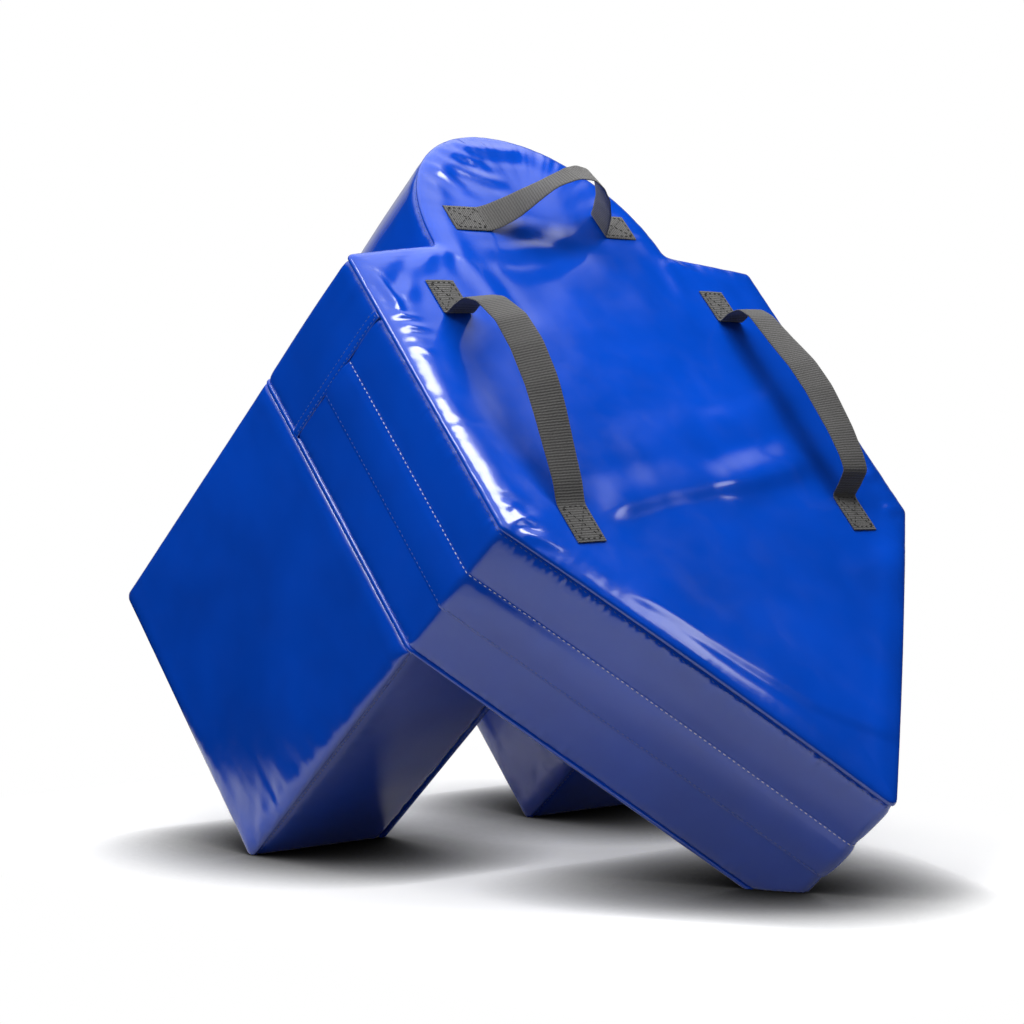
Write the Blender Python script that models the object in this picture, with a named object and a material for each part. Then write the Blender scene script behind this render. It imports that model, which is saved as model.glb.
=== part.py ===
"""Tackle shield: a foam body with a head, shoulders, two legs and a pointed tip, in a
sewn cover of coated fabric with a zip under a flap and three webbing handles.

Everything is modelled in the shield's own directions: u runs across it, v runs down
its face from the shoulder corners, and n runs from its face into its body. One empty,
the parent of every piece, stands the shield on its legs and its tip.
"""
import math

import bmesh
import bpy
from mathutils import Matrix, Vector
from mathutils.geometry import interpolate_bezier

# The body
PANEL_WIDTH = 0.650
PANEL_DEPTH = 0.220
TORSO_LENGTH = 0.400
TAPER_LENGTH = 0.400
NECK_WIDTH = 0.370
NECK_RISE = 0.019
HEAD_RISE = 0.201
LEG_WIDTH = 0.210
LEG_REACH = 0.400
CORNER_RADIUS = 0.010
TIP_TREAD = 0.165
LEG_SQUASH = 0.004

# The cover
COVER = 0.001
SEAM_GAP = 0.0003
LAYER_GAP = 0.0009
HEM_BOTTOM = 0.092
HEM_WIDTH = 0.014
FLAP_SEAM = 0.078
FLAP_LAP = 0.006
FLAP_EDGE = 0.140
FLAP_ARCH = 0.003
ZIP_OPENING = 0.032

# The foam
FOAM_EASE = 0.0027
FACE_CROWN = 0.008
LEG_CROWN = 0.0035
FIRM_HEIGHT = 0.012
YIELD_HEIGHT = 0.070

# The zip
ZIP_CENTRE = 0.109
TAPE_WIDTH = 0.0255
TAPE_SLIT = 0.003
TAPE_THICKNESS = 0.0008
COIL_WIDTH = 0.0037
COIL_DEPTH = 0.0027
SLIDER_LENGTH = 0.016
SLIDER_WIDTH = 0.0136
SLIDER_TOP_WIDTH = 0.012
SLIDER_PLATE = 0.0012
SLIDER_POST = 0.002
SLIDER_PLAY = 0.0004
SLIDER_REST = 0.016
BAIL_WIDTH = 0.002
BAIL_BAR = 0.0008
BAIL_RISE = 0.0024
BAIL_LEG = 0.0015
PULLER_LENGTH = 0.030
PULLER_WIDTH = 0.008
PULLER_THICKNESS = 0.0010
PULLER_EYE_LENGTH = 0.0060
PULLER_EYE_WIDTH = 0.0042
PULLER_RIM = 0.0018
STOP_LENGTH = 0.004
STOP_THICKNESS = 0.0010
CHANNEL_WIDTH = 0.018
CHANNEL_DEPTH = 0.0080

# The handles
STRAP_WIDTH = 0.040
STRAP_THICKNESS = 0.002
SIDE_HANDLE_INSET = 0.105
SIDE_HANDLE_TOP = 0.044
SIDE_HANDLE_BOTTOM = 0.431
SIDE_HANDLE_RISE = 0.063
HEAD_HANDLE_PLACE = 0.062
HEAD_HANDLE_SPAN = 0.292
HEAD_HANDLE_RISE = 0.084
TAB_LENGTH = 0.053
GRIP_CUT = 0.040
PATCH_MARGIN = 0.009
PATCH_THICKNESS = 0.001
PATCH_GAP = 0.0004
PATCH_CORNER = 0.008
THREAD_WIDTH = 0.0016
THREAD_THICKNESS = 0.0006
BOX_MARGIN = 0.0045

# How finely curved and bent forms are drawn
GRID = 0.055
ARC_STEPS = 3
HEAD_STEPS = 18
STRAP_STEPS = 9
FLAP_STEPS = 8
WELD = 0.00001
OVERRUN = 0.020

# Where each strap stands highest, and how long its curve's handles are, as shares of its span
LEFT_PEAK_SHARE = 0.28
RIGHT_PEAK_SHARE = 0.56
HEAD_PEAK_SHARE = 0.56

LEFT_STRAP_SHARES = (0.07, 0.0, 0.13, 0.22, 0.26, 0.50)
RIGHT_STRAP_SHARES = (0.06, 0.38, 0.26, 0.20, 0.05, 0.40)
HEAD_STRAP_SHARES = (0.22, 0.30, 0.20, 0.20, 0.02, 0.55)

# Derived
HEAD_TOP = -NECK_RISE - HEAD_RISE
TIP = TORSO_LENGTH + TAPER_LENGTH
LEG_END = PANEL_DEPTH + LEG_REACH
LEG_INNER = PANEL_WIDTH / 2 - LEG_WIDTH
INSIDE = COVER + SEAM_GAP
HEM_TOP = HEM_BOTTOM - HEM_WIDTH
STRIP_TOP = HEM_TOP + COVER + SEAM_GAP

LEG_TO_TIP = LEG_END - TIP_TREAD
LEAN = math.acos(LEG_SQUASH / math.hypot(LEG_TO_TIP, TAPER_LENGTH)) - math.atan2(TAPER_LENGTH, LEG_TO_TIP)
DOWN_SHARE = math.sin(LEAN)
IN_SHARE = math.cos(LEAN)
FLOOR_DROP = TIP * DOWN_SHARE + TIP_TREAD * IN_SHARE


def height(v, n):
    """How far a point of the shield is above the floor."""
    return FLOOR_DROP - v * DOWN_SHARE - n * IN_SHARE


def clear_scene():
    for thing in list(bpy.data.objects):
        bpy.data.objects.remove(thing, do_unlink=True)


def new_collection(name):
    collection = bpy.data.collections.new(name)
    bpy.context.scene.collection.children.link(collection)
    return collection


def material(name, colour, roughness, metallic=0.0):
    finish = bpy.data.materials.new(name)
    finish.use_nodes = True
    finish.diffuse_color = (*colour, 1.0)
    shader = finish.node_tree.nodes["Principled BSDF"]
    shader.inputs["Base Color"].default_value = (*colour, 1.0)
    shader.inputs["Roughness"].default_value = roughness
    shader.inputs["Metallic"].default_value = metallic
    return finish


# Outlines. Each runs round its shape with the inside on the (dv, -du) side of its way.


def inward(start, end):
    along = (Vector(end) - Vector(start)).normalized()
    return Vector((along.y, -along.x))


def mitres(points, closed):
    """At each point, how far it moves for one unit of inset."""
    count = len(points)
    turned = []
    for i, point in enumerate(points):
        before = inward(points[i - 1], point) if closed or i > 0 else None
        after = inward(point, points[(i + 1) % count]) if closed or i < count - 1 else None
        before = before or after
        after = after or before
        turned.append((before + after) / (1 + before.dot(after)))
    return turned


def inset(points, depth, closed=True):
    return [tuple(Vector(p) + m * depth) for p, m in zip(points, mitres(points, closed))]


def soften(corners, closed=True):
    """Replace each (x, y, radius) corner with an arc of that radius."""
    points = [corner[:2] for corner in corners]
    turned = mitres(points, closed)
    softened = []
    for i, (x, y, radius) in enumerate(corners):
        if not radius:
            softened.append((x, y))
            continue
        before = inward(points[i - 1], points[i])
        after = inward(points[i], points[(i + 1) % len(points)])
        centre = Vector((x, y)) + turned[i] * radius
        for step in range(ARC_STEPS + 1):
            facing = before.lerp(after, step / ARC_STEPS).normalized()
            softened.append(tuple(centre - facing * radius))
    return softened


def rectangle(low, high, margin):
    return [
        (low[0] - margin, low[1] - margin),
        (low[0] - margin, high[1] + margin),
        (high[0] + margin, high[1] + margin),
        (high[0] + margin, low[1] - margin),
    ]


def head_arc():
    """The head from the right of the neck over its top to the left, half an ellipse."""
    arc = []
    for step in range(HEAD_STEPS + 1):
        angle = math.pi * step / HEAD_STEPS
        across = NECK_WIDTH / 2 * math.cos(angle)
        arc.append((across, -NECK_RISE - HEAD_RISE * math.sin(angle)))
    return arc


def lower_corners(top):
    """From the left side at a given place, round the hips and the tip, to the right side."""
    side = PANEL_WIDTH / 2
    return [
        (-side, top, 0),
        (-side, TORSO_LENGTH, CORNER_RADIUS),
        (0, TIP, CORNER_RADIUS),
        (side, TORSO_LENGTH, CORNER_RADIUS),
        (side, top, 0),
    ]


def shoulder(side):
    return (side * PANEL_WIDTH / 2, 0, CORNER_RADIUS)


def torso_outline():
    """The shoulders, the sides and the taper to the tip, without the head."""
    neck = NECK_WIDTH / 2
    lower = lower_corners(TORSO_LENGTH)[1:-1]
    return soften([shoulder(-1), *lower, shoulder(1), (neck, -NECK_RISE, 0), (-neck, -NECK_RISE, 0)])


def panel_outline():
    """The whole face."""
    head = [(u, v, 0) for u, v in head_arc()]
    lower = lower_corners(TORSO_LENGTH)[1:-1]
    return soften([shoulder(-1), *lower, shoulder(1), *head])


def lower_path():
    return soften(lower_corners(STRIP_TOP), closed=False)


def leg_profile(depth):
    """A leg from its side, as (v, n), with the corner that it stands on pressed flat."""
    near = PANEL_DEPTH - COVER
    far = LEG_END - depth
    bottom = TORSO_LENGTH - depth
    lift = depth
    tread_n = (FLOOR_DROP - lift - bottom * DOWN_SHARE) / IN_SHARE
    tread_v = (FLOOR_DROP - lift - far * IN_SHARE) / DOWN_SHARE
    return [(depth, near), (depth, far), (tread_v, far), (bottom, tread_n), (bottom, near)]


# Solids, as bmeshes whose x, y and z are u, v and n


def turned(drawn, along):
    """A drawn place in the order u, v, n, where its height runs along one of the three."""
    x, y, z = drawn
    if along == "u":
        return z, x, y
    if along == "v":
        return x, z, y
    return x, y, z


def flat_solid(outline, low, high, along="n", holes=()):
    """A flat outline from low to high along one direction. Its two coordinates are the others."""
    curve = bpy.data.curves.new("outline", "CURVE")
    curve.dimensions = "2D"
    curve.fill_mode = "BOTH"
    curve.extrude = (high - low) / 2
    for ring in (outline, *holes):
        spline = curve.splines.new("POLY")
        spline.points.add(len(ring) - 1)
        for point, place in zip(spline.points, ring):
            point.co = (*place, 0, 1)
        spline.use_cyclic_u = True
    drawn = bpy.data.objects.new("outline", curve)
    bpy.context.scene.collection.objects.link(drawn)
    evaluated = drawn.evaluated_get(bpy.context.evaluated_depsgraph_get())
    mesh = bpy.data.meshes.new_from_object(evaluated)
    bpy.data.objects.remove(drawn, do_unlink=True)
    solid = bmesh.new()
    solid.from_mesh(mesh)
    bpy.data.meshes.remove(mesh)
    bmesh.ops.remove_doubles(solid, verts=solid.verts, dist=WELD)
    for vertex in solid.verts:
        vertex.co = turned((vertex.co.x, vertex.co.y, vertex.co.z + (low + high) / 2), along)
    bmesh.ops.dissolve_limit(
        solid, angle_limit=math.radians(0.01), verts=solid.verts, edges=solid.edges
    )
    bmesh.ops.recalc_face_normals(solid, faces=solid.faces)
    return solid


def swept(path, profile):
    """A closed profile of (inset, n) points carried along an open path of (u, v) points."""
    solid = bmesh.new()
    rings = []
    for depth, n in profile:
        rings.append([solid.verts.new((u, v, n)) for u, v in inset(path, depth, closed=False)])
    for ring, following in zip(rings, rings[1:] + rings[:1]):
        for i in range(len(path) - 1):
            solid.faces.new((ring[i], ring[i + 1], following[i + 1], following[i]))
    for end in (0, -1):
        solid.faces.new([ring[end] for ring in rings])
    bmesh.ops.recalc_face_normals(solid, faces=solid.faces)
    return solid


def band(outer, inner, low, high):
    """A rectangular profile for a strip, between two insets and two depths."""
    return [(outer, low), (outer, high), (inner, high), (inner, low)]


def cut_by_floor(solid, lift):
    """Take away what would be lower than a given height above the floor, and close the cut."""
    normal = Vector((0, DOWN_SHARE, IN_SHARE))
    everything = solid.verts[:] + solid.edges[:] + solid.faces[:]
    cut = bmesh.ops.bisect_plane(
        solid, geom=everything, dist=WELD, plane_co=normal * (FLOOR_DROP - lift),
        plane_no=normal, clear_outer=True,
    )
    rim = [piece for piece in cut["geom_cut"] if isinstance(piece, bmesh.types.BMEdge)]
    bmesh.ops.edgenet_fill(solid, edges=rim)
    bmesh.ops.recalc_face_normals(solid, faces=solid.faces)


def cut_grid(solid, axes=(0, 1)):
    """Add edges across a solid, so that it can take the crown of the padding."""
    for axis in axes:
        places = [vertex.co[axis] for vertex in solid.verts]
        normal = Vector([float(axis == other) for other in range(3)])
        first = math.floor(min(places) / GRID) + 1
        for line in range(first, math.ceil(max(places) / GRID)):
            everything = solid.verts[:] + solid.edges[:] + solid.faces[:]
            bmesh.ops.bisect_plane(
                solid, geom=everything, dist=WELD, plane_co=normal * (line * GRID), plane_no=normal
            )


def bump(place, low, high):
    """One halfway between low and high, falling to nothing at both and beyond them."""
    share = 2 * (place - low) / (high - low) - 1
    return max(0.0, 1 - share * share)


def swell(place):
    """Where the padding pushes a point of the flat-sided shield."""
    u, v, n = place
    across = bump(u, -PANEL_WIDTH / 2, PANEL_WIDTH / 2)
    give = (height(v, n) - FIRM_HEIGHT) / YIELD_HEIGHT
    give = min(max(give, 0.0), 1.0)
    if n <= PANEL_DEPTH:
        crown = across * bump(v, HEAD_TOP, TIP) * (1 - max(n, 0) / PANEL_DEPTH)
        return Vector((u, v, n - FACE_CROWN * crown * give))
    side = math.copysign(1, u)
    across = bump(abs(u), LEG_INNER, PANEL_WIDTH / 2)
    down = bump(v, 0, TORSO_LENGTH)
    out = bump(n, PANEL_DEPTH, LEG_END)
    off_centre = 2 * (abs(u) - LEG_INNER) / LEG_WIDTH - 1
    below_centre = 2 * v / TORSO_LENGTH - 1
    past_back = (n - PANEL_DEPTH) / LEG_REACH
    u += side * LEG_CROWN * off_centre * down * out * give
    v += LEG_CROWN * below_centre * across * out * give
    n += LEG_CROWN * past_back * across * down * give
    return Vector((u, v, n))


class Shield:
    """Collects the pieces under one empty, which stands them up."""

    def __init__(self):
        self.parts = new_collection("tackle_shield")
        self.cutters = new_collection("cutters")
        self.frame = bpy.data.objects.new("shield_frame", None)
        self.parts.objects.link(self.frame)
        self.pieces = []

    def add(self, name, solid, finish, origin=(0, 0, 0), padded=True):
        """Make a piece of a bmesh. Its origin, if given, is where its joint is."""
        if padded:
            for vertex in solid.verts:
                vertex.co = swell(vertex.co)
        bmesh.ops.translate(solid, verts=solid.verts, vec=-Vector(origin))
        mesh = bpy.data.meshes.new(name)
        solid.to_mesh(mesh)
        solid.free()
        mesh.materials.append(finish)
        piece = bpy.data.objects.new(name, mesh)
        piece.parent = self.frame
        piece.location = origin
        self.parts.objects.link(piece)
        self.pieces.append(piece)
        return piece

    def change(self, piece, solid, operation, padded=True):
        """Cut a bmesh from a piece, or join it on."""
        cutter = self.add(piece.name + "_tool", solid, piece.data.materials[0], padded=padded)
        self.pieces.remove(cutter)
        self.parts.objects.unlink(cutter)
        self.cutters.objects.link(cutter)
        cutter.hide_render = True
        cutter.display_type = "WIRE"
        tool = piece.modifiers.new(operation.lower(), "BOOLEAN")
        tool.operation = operation
        tool.solver = "EXACT"
        tool.object = cutter

    def stand(self):
        """Lean the shield on its legs and its tip, with the middle of its base at the origin."""
        turn = Matrix((
            (1, 0, 0, 0),
            (0, -IN_SHARE, DOWN_SHARE, 0),
            (0, -DOWN_SHARE, -IN_SHARE, FLOOR_DROP),
            (0, 0, 0, 1),
        ))
        places = []
        for piece in self.pieces:
            places += [(turn @ (piece.location + corner.co)).y for corner in piece.data.vertices]
        centre = (min(places) + max(places)) / 2
        self.frame.matrix_world = Matrix.Translation((0, -centre, 0)) @ turn


# The cover


def strip_ends():
    """The depths at which the side strips start and stop, inside the face and the back."""
    return INSIDE, PANEL_DEPTH - INSIDE


def make_face_panel(shield, finish):
    solid = flat_solid(panel_outline(), 0, COVER)
    cut_grid(solid)
    shield.add("face_panel", solid, finish)


def make_back_panel(shield, finish):
    """The back, cut away where the legs go through it and where the tip is folded under."""
    outline = panel_outline()
    solid = flat_solid(outline, PANEL_DEPTH - COVER, PANEL_DEPTH)
    cut_by_floor(solid, 0)
    cut_grid(solid)
    back = shield.add("back_panel", solid, finish)
    for side in (-1, 1):
        near = side * (LEG_INNER - SEAM_GAP)
        far = side * (PANEL_WIDTH / 2 + OVERRUN)
        top = -SEAM_GAP
        bottom = TORSO_LENGTH + SEAM_GAP
        window = [(near, top), (near, bottom), (far, bottom), (far, top)]
        opening = flat_solid(window, PANEL_DEPTH - OVERRUN, PANEL_DEPTH + OVERRUN)
        shield.change(back, opening, "DIFFERENCE", padded=False)


def make_hood_gusset(shield, finish):
    """The strip over the shoulders and the head, whose hems lap over the strips below."""
    side = PANEL_WIDTH / 2
    corners = [(side, HEM_TOP + COVER, 0), shoulder(1)]
    corners += [(u, v, 0) for u, v in head_arc()]
    corners += [shoulder(-1), (-side, HEM_TOP + COVER, 0)]
    path = soften(corners, closed=False)
    outer = side + SEAM_GAP + COVER
    proud = side + SEAM_GAP
    right_hem = [(proud, HEM_TOP + COVER), (proud, HEM_BOTTOM), (outer, HEM_BOTTOM), (outer, HEM_TOP)]
    left_hem = [(-u, v) for u, v in reversed(right_hem)]
    outside = [(side, HEM_TOP), *path[1:-1], (-side, HEM_TOP)]
    inside = inset(path, COVER, closed=False)
    outline = [*right_hem, *outside, *left_hem, *reversed(inside)]
    low, high = strip_ends()
    solid = flat_solid(outline, low, high)
    cut_grid(solid)
    shield.add("hood_gusset", solid, finish)


def make_front_strip(shield, finish):
    low, _ = strip_ends()
    solid = swept(lower_path(), band(0, COVER, low, ZIP_CENTRE - ZIP_OPENING / 2))
    cut_grid(solid)
    shield.add("front_side_strip", solid, finish)


def make_rear_strip(shield, finish):
    """The strip next to the back. Where the tip stands on the floor it is folded flat."""
    _, high = strip_ends()
    low = ZIP_CENTRE + ZIP_OPENING / 2
    path = lower_path()
    solid = flat_solid(path, low, high)
    cut_by_floor(solid, 0)
    cut_grid(solid)
    strip = shield.add("rear_side_strip", solid, finish)
    inner = inset(path, COVER, closed=False)
    inner = [(inner[0][0], inner[0][1] - OVERRUN), *inner[1:-1], (inner[-1][0], inner[-1][1] - OVERRUN)]
    hollow = flat_solid(inner, low - OVERRUN, high + OVERRUN)
    cut_by_floor(hollow, COVER)
    cut_grid(hollow)
    shield.change(strip, hollow, "DIFFERENCE")


def make_zip_flap(shield, finish):
    """The flap over the zip, sewn along one edge and lying loose over the rear strip."""
    front = FLAP_SEAM - FLAP_LAP
    outer = []
    inner = []
    for step in range(FLAP_STEPS + 1):
        n = front + (FLAP_EDGE - front) * step / FLAP_STEPS
        lift = SEAM_GAP + FLAP_ARCH * bump(n, FLAP_SEAM, FLAP_EDGE)
        inner.append((-lift, n))
        outer.append((-lift - COVER, n))
    corners = lower_corners(HEM_BOTTOM + SEAM_GAP)
    solid = swept(soften(corners, closed=False), [*outer, *reversed(inner)])
    cut_grid(solid)
    shield.add("zip_flap", solid, finish)


def make_leg_cover(shield, finish, name, side):
    """A leg's outer and inner side panels, and the strip that wraps its top, end and bottom."""
    outer = side * PANEL_WIDTH / 2
    inner = side * LEG_INNER
    walls = {"outer": (outer, outer - side * COVER), "inner": (inner, inner + side * COVER)}
    for which, (skin, lining) in walls.items():
        solid = flat_solid(leg_profile(0), min(skin, lining), max(skin, lining), along="u")
        cut_grid(solid, axes=(1, 2))
        shield.add(f"{name}_leg_{which}_panel", solid, finish)
    lining = leg_profile(COVER)
    outline = [*leg_profile(0), *reversed(lining)]
    limits = sorted((inner + side * INSIDE, outer - side * INSIDE))
    solid = flat_solid(outline, *limits, along="u")
    cut_grid(solid, axes=(0, 1, 2))
    shield.add(f"{name}_leg_wrap", solid, finish)


# The foam


def make_torso_foam(shield, finish):
    front = COVER + PATCH_GAP + PATCH_THICKNESS + PATCH_GAP
    back = PANEL_DEPTH - INSIDE
    solid = flat_solid(inset(torso_outline(), FOAM_EASE), front, back)
    cut_by_floor(solid, COVER + LAYER_GAP)
    cut_grid(solid)
    foam = shield.add("torso_foam", solid, finish)
    low = ZIP_CENTRE - CHANNEL_WIDTH / 2
    high = ZIP_CENTRE + CHANNEL_WIDTH / 2
    channel = swept(lower_path(), band(-OVERRUN, CHANNEL_DEPTH, low, high))
    cut_grid(channel)
    shield.change(foam, channel, "DIFFERENCE")


def make_head_foam(shield, finish):
    """The head's foam, glued on the torso's along the neck."""
    front = COVER + PATCH_GAP + PATCH_THICKNESS + PATCH_GAP
    back = PANEL_DEPTH - INSIDE
    joint = -NECK_RISE + FOAM_EASE - SEAM_GAP
    arc = inset([*head_arc(), (-NECK_WIDTH / 2, 0), (NECK_WIDTH / 2, 0)], FOAM_EASE)
    rounded = [point for point in arc if point[1] < joint]
    left = (rounded[-1][0], joint)
    right = (rounded[0][0], joint)
    solid = flat_solid([right, *rounded, left], front, back)
    cut_grid(solid)
    shield.add("head_foam", solid, finish)


def make_leg_foam(shield, finish, name, side):
    """A leg's foam, glued on the back of the torso's."""
    skin = COVER + LAYER_GAP
    near = PANEL_DEPTH - COVER
    profile = leg_profile(skin)
    profile = [(profile[0][0], near), *profile[1:-1], (profile[-1][0], near)]
    limits = sorted((side * (LEG_INNER + skin), side * (PANEL_WIDTH / 2 - skin)))
    solid = flat_solid(profile, *limits, along="u")
    cut_grid(solid, axes=(0, 1, 2))
    shield.add(f"{name}_leg_foam", solid, finish)


# The zip


def make_zip_stringers(shield, finish):
    """Each half of the zip is a woven tape with its coil sewn on the inside."""
    tape = INSIDE
    lining = tape + TAPE_THICKNESS
    coil = lining + COIL_DEPTH
    for name, way in (("front", -1), ("rear", 1)):
        edge = ZIP_CENTRE + way * TAPE_SLIT / 2
        coil_edge = edge + way * COIL_WIDTH
        far = edge + way * TAPE_WIDTH
        profile = [(tape, edge), (tape, far), (lining, far)]
        profile += [(lining, coil_edge), (coil, coil_edge), (coil, edge)]
        solid = swept(lower_path(), profile)
        cut_grid(solid)
        shield.add(f"zip_stringer_{name}", solid, finish)


def side_place(depth):
    """The u of a place at a given depth inside the left side."""
    return -PANEL_WIDTH / 2 + depth


def make_zip_slider(shield, finish):
    """Two plates joined by a post, which runs in the slit between the tapes, and a bail."""
    centre = STRIP_TOP + SLIDER_REST + SLIDER_LENGTH / 2
    tape_top = INSIDE
    coil_bottom = tape_top + TAPE_THICKNESS + COIL_DEPTH
    top_low = tape_top - SEAM_GAP
    top_high = top_low - SLIDER_PLATE
    plate_high = coil_bottom + SLIDER_PLAY
    plate_low = plate_high + SLIDER_PLATE
    lip_top = tape_top + TAPE_THICKNESS + SLIDER_PLAY
    lip = TAPE_SLIT / 2 + COIL_WIDTH + SLIDER_PLAY
    half = [
        (top_high, SLIDER_TOP_WIDTH / 2),
        (top_low, SLIDER_TOP_WIDTH / 2),
        (top_low, SLIDER_POST / 2),
        (plate_high, SLIDER_POST / 2),
        (plate_high, lip),
        (lip_top, lip),
        (lip_top, SLIDER_WIDTH / 2),
        (plate_low, SLIDER_WIDTH / 2),
    ]
    section = [(side_place(depth), ZIP_CENTRE + out) for depth, out in half]
    section += [(side_place(depth), ZIP_CENTRE - out) for depth, out in reversed(half)]
    body = flat_solid(section, centre - SLIDER_LENGTH / 2, centre + SLIDER_LENGTH / 2, along="v")
    origin = (side_place(0), centre, ZIP_CENTRE)
    slider = shield.add("zip_slider", body, finish, origin=origin, padded=False)
    reach = SLIDER_LENGTH / 2 - BAIL_LEG
    root = top_high + SLIDER_PLATE / 2
    crest = top_high - BAIL_RISE
    hoop = [(root, reach), (crest, reach), (crest, -reach), (root, -reach)]
    hoop += [(root, -reach + BAIL_LEG), (crest + BAIL_BAR, -reach + BAIL_LEG)]
    hoop += [(crest + BAIL_BAR, reach - BAIL_LEG), (root, reach - BAIL_LEG)]
    outline = [(side_place(depth), centre + along) for depth, along in hoop]
    low = ZIP_CENTRE - BAIL_WIDTH / 2
    bail = flat_solid(outline, low, low + BAIL_WIDTH)
    shield.change(slider, bail, "UNION", padded=False)
    make_zip_puller(shield, finish, centre + reach, top_high)


def make_zip_puller(shield, finish, bail_end, plate):
    """A tab whose eye hangs on the bail's lower leg, lying flat under the flap."""
    eye_low = bail_end - BAIL_LEG - SEAM_GAP
    eye_high = eye_low + PULLER_EYE_LENGTH
    top = eye_low - PULLER_RIM
    bottom = top + PULLER_LENGTH
    half = PULLER_WIDTH / 2
    chamfer = PULLER_RIM
    outline = [
        (top + chamfer, ZIP_CENTRE - half),
        (bottom - chamfer, ZIP_CENTRE - half),
        (bottom, ZIP_CENTRE - half + chamfer),
        (bottom, ZIP_CENTRE + half - chamfer),
        (bottom - chamfer, ZIP_CENTRE + half),
        (top + chamfer, ZIP_CENTRE + half),
        (top, ZIP_CENTRE + half - chamfer),
        (top, ZIP_CENTRE - half + chamfer),
    ]
    eye_low_n = ZIP_CENTRE - PULLER_EYE_WIDTH / 2
    eye_high_n = ZIP_CENTRE + PULLER_EYE_WIDTH / 2
    eye = [(eye_low, eye_low_n), (eye_low, eye_high_n), (eye_high, eye_high_n), (eye_high, eye_low_n)]
    low = side_place(plate - SEAM_GAP - PULLER_THICKNESS)
    solid = flat_solid(outline, low, low + PULLER_THICKNESS, along="u", holes=[eye])
    origin = (side_place(plate), bail_end, ZIP_CENTRE)
    shield.add("zip_puller", solid, finish, origin=origin, padded=False)


def make_zip_stops(shield, finish):
    """A crimped stop across both tapes at each end of the zip."""
    reach = TAPE_SLIT / 2 + COIL_WIDTH
    low = STRIP_TOP + SEAM_GAP
    outline = rectangle((low, ZIP_CENTRE - reach), (low + STOP_LENGTH, ZIP_CENTRE + reach), 0)
    for name, side in (("left", -1), ("right", 1)):
        skin = side * (PANEL_WIDTH / 2 - INSIDE + SEAM_GAP)
        limits = sorted((skin, skin + side * STOP_THICKNESS))
        solid = flat_solid(outline, *limits, along="u")
        shield.add(f"zip_{name}_stop", solid, finish, padded=False)


# The handles


def strap_curve(start, end, rise, peak_share, shares):
    """The strap's middle line as (place, height) points: along a tab, over, and along the other."""
    span = end - start
    rise_in, lift_in, flat_in, flat_out, fall_out, lift_out = shares
    peak = start + span * peak_share
    lie = SEAM_GAP + STRAP_THICKNESS / 2
    first = Vector((start, lie, 0))
    top = Vector((peak, rise, 0))
    last = Vector((end, lie, 0))
    leave = first + Vector((span * rise_in, rise * lift_in, 0))
    reach_top = top - Vector((span * flat_in, 0, 0))
    pass_top = top + Vector((span * flat_out, 0, 0))
    arrive = last + Vector((-span * fall_out, rise * lift_out, 0))
    climb = interpolate_bezier(first, leave, reach_top, top, STRAP_STEPS)
    fall = interpolate_bezier(top, pass_top, arrive, last, STRAP_STEPS)
    curve = [(point.x, point.y) for point in [*climb, *fall[1:]]]
    return [(start - TAB_LENGTH, lie), *curve, (end + TAB_LENGTH, lie)]


def cut_line(path, start, end):
    """The part of a line between two distances along it."""
    kept = []
    passed = 0.0
    for here, there in zip(path, path[1:]):
        here = Vector(here)
        there = Vector(there)
        length = (there - here).length
        for mark in (start, end):
            if passed < mark < passed + length:
                kept.append(tuple(here.lerp(there, (mark - passed) / length)))
        passed += length
        if start <= passed <= end:
            kept.append(tuple(there))
    return [path[0], *kept] if start <= 0 else kept


def line_length(path):
    return sum((Vector(b) - Vector(a)).length for a, b in zip(path, path[1:]))


def ribbon(path, low, high, along):
    """Webbing that follows a line of (place, height) points, low to high across its width."""
    outer = inset(path, STRAP_THICKNESS / 2, closed=False)
    inner = inset(path, -STRAP_THICKNESS / 2, closed=False)
    outline = [(place, -rise) for place, rise in [*outer, *reversed(inner)]]
    return flat_solid(outline, low, high, along=along)


def make_handle(shield, finish, thread, patch, name, ends, line, centre, along):
    """A strap in three nodes: its two sewn ends, and the loop between them that can swing."""
    length = line_length(line)
    cut = TAB_LENGTH + GRIP_CUT
    low = centre - STRAP_WIDTH / 2
    high = centre + STRAP_WIDTH / 2
    stretches = [
        (f"{name}_handle_{ends[0]}_end", 0, cut),
        (f"{name}_handle_loop", cut + SEAM_GAP, length - cut - SEAM_GAP),
        (f"{name}_handle_{ends[1]}_end", length - cut, length + OVERRUN),
    ]
    middle = (line[0][0] + line[-1][0]) / 2
    hinge = swell((centre, middle, 0) if along == "u" else (middle, centre, 0))
    for node, start, end in stretches:
        solid = ribbon(cut_line(line, start, end), low, high, along)
        moves = node.endswith("loop")
        shield.add(node, solid, finish, origin=hinge if moves else (0, 0, 0))
    tabs = [(line[0][0], line[0][0] + TAB_LENGTH), (line[-1][0] - TAB_LENGTH, line[-1][0])]
    for end, tab in zip(ends, tabs):
        low_corner, high_corner = (low, tab[0]), (high, tab[1])
        if along == "v":
            low_corner, high_corner = (tab[0], low), (tab[1], high)
        make_patch(shield, patch, f"{name}_handle_{end}_patch", low_corner, high_corner)
        make_stitching(shield, thread, f"{name}_handle_{end}_stitching", low_corner, high_corner)


def make_patch(shield, finish, name, low, high):
    """The reinforcing patch behind the face that a tab is sewn through to."""
    front = COVER + PATCH_GAP
    corners = [(*corner, PATCH_CORNER) for corner in rectangle(low, high, PATCH_MARGIN)]
    shield.add(name, flat_solid(soften(corners), front, front + PATCH_THICKNESS), finish)


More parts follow.
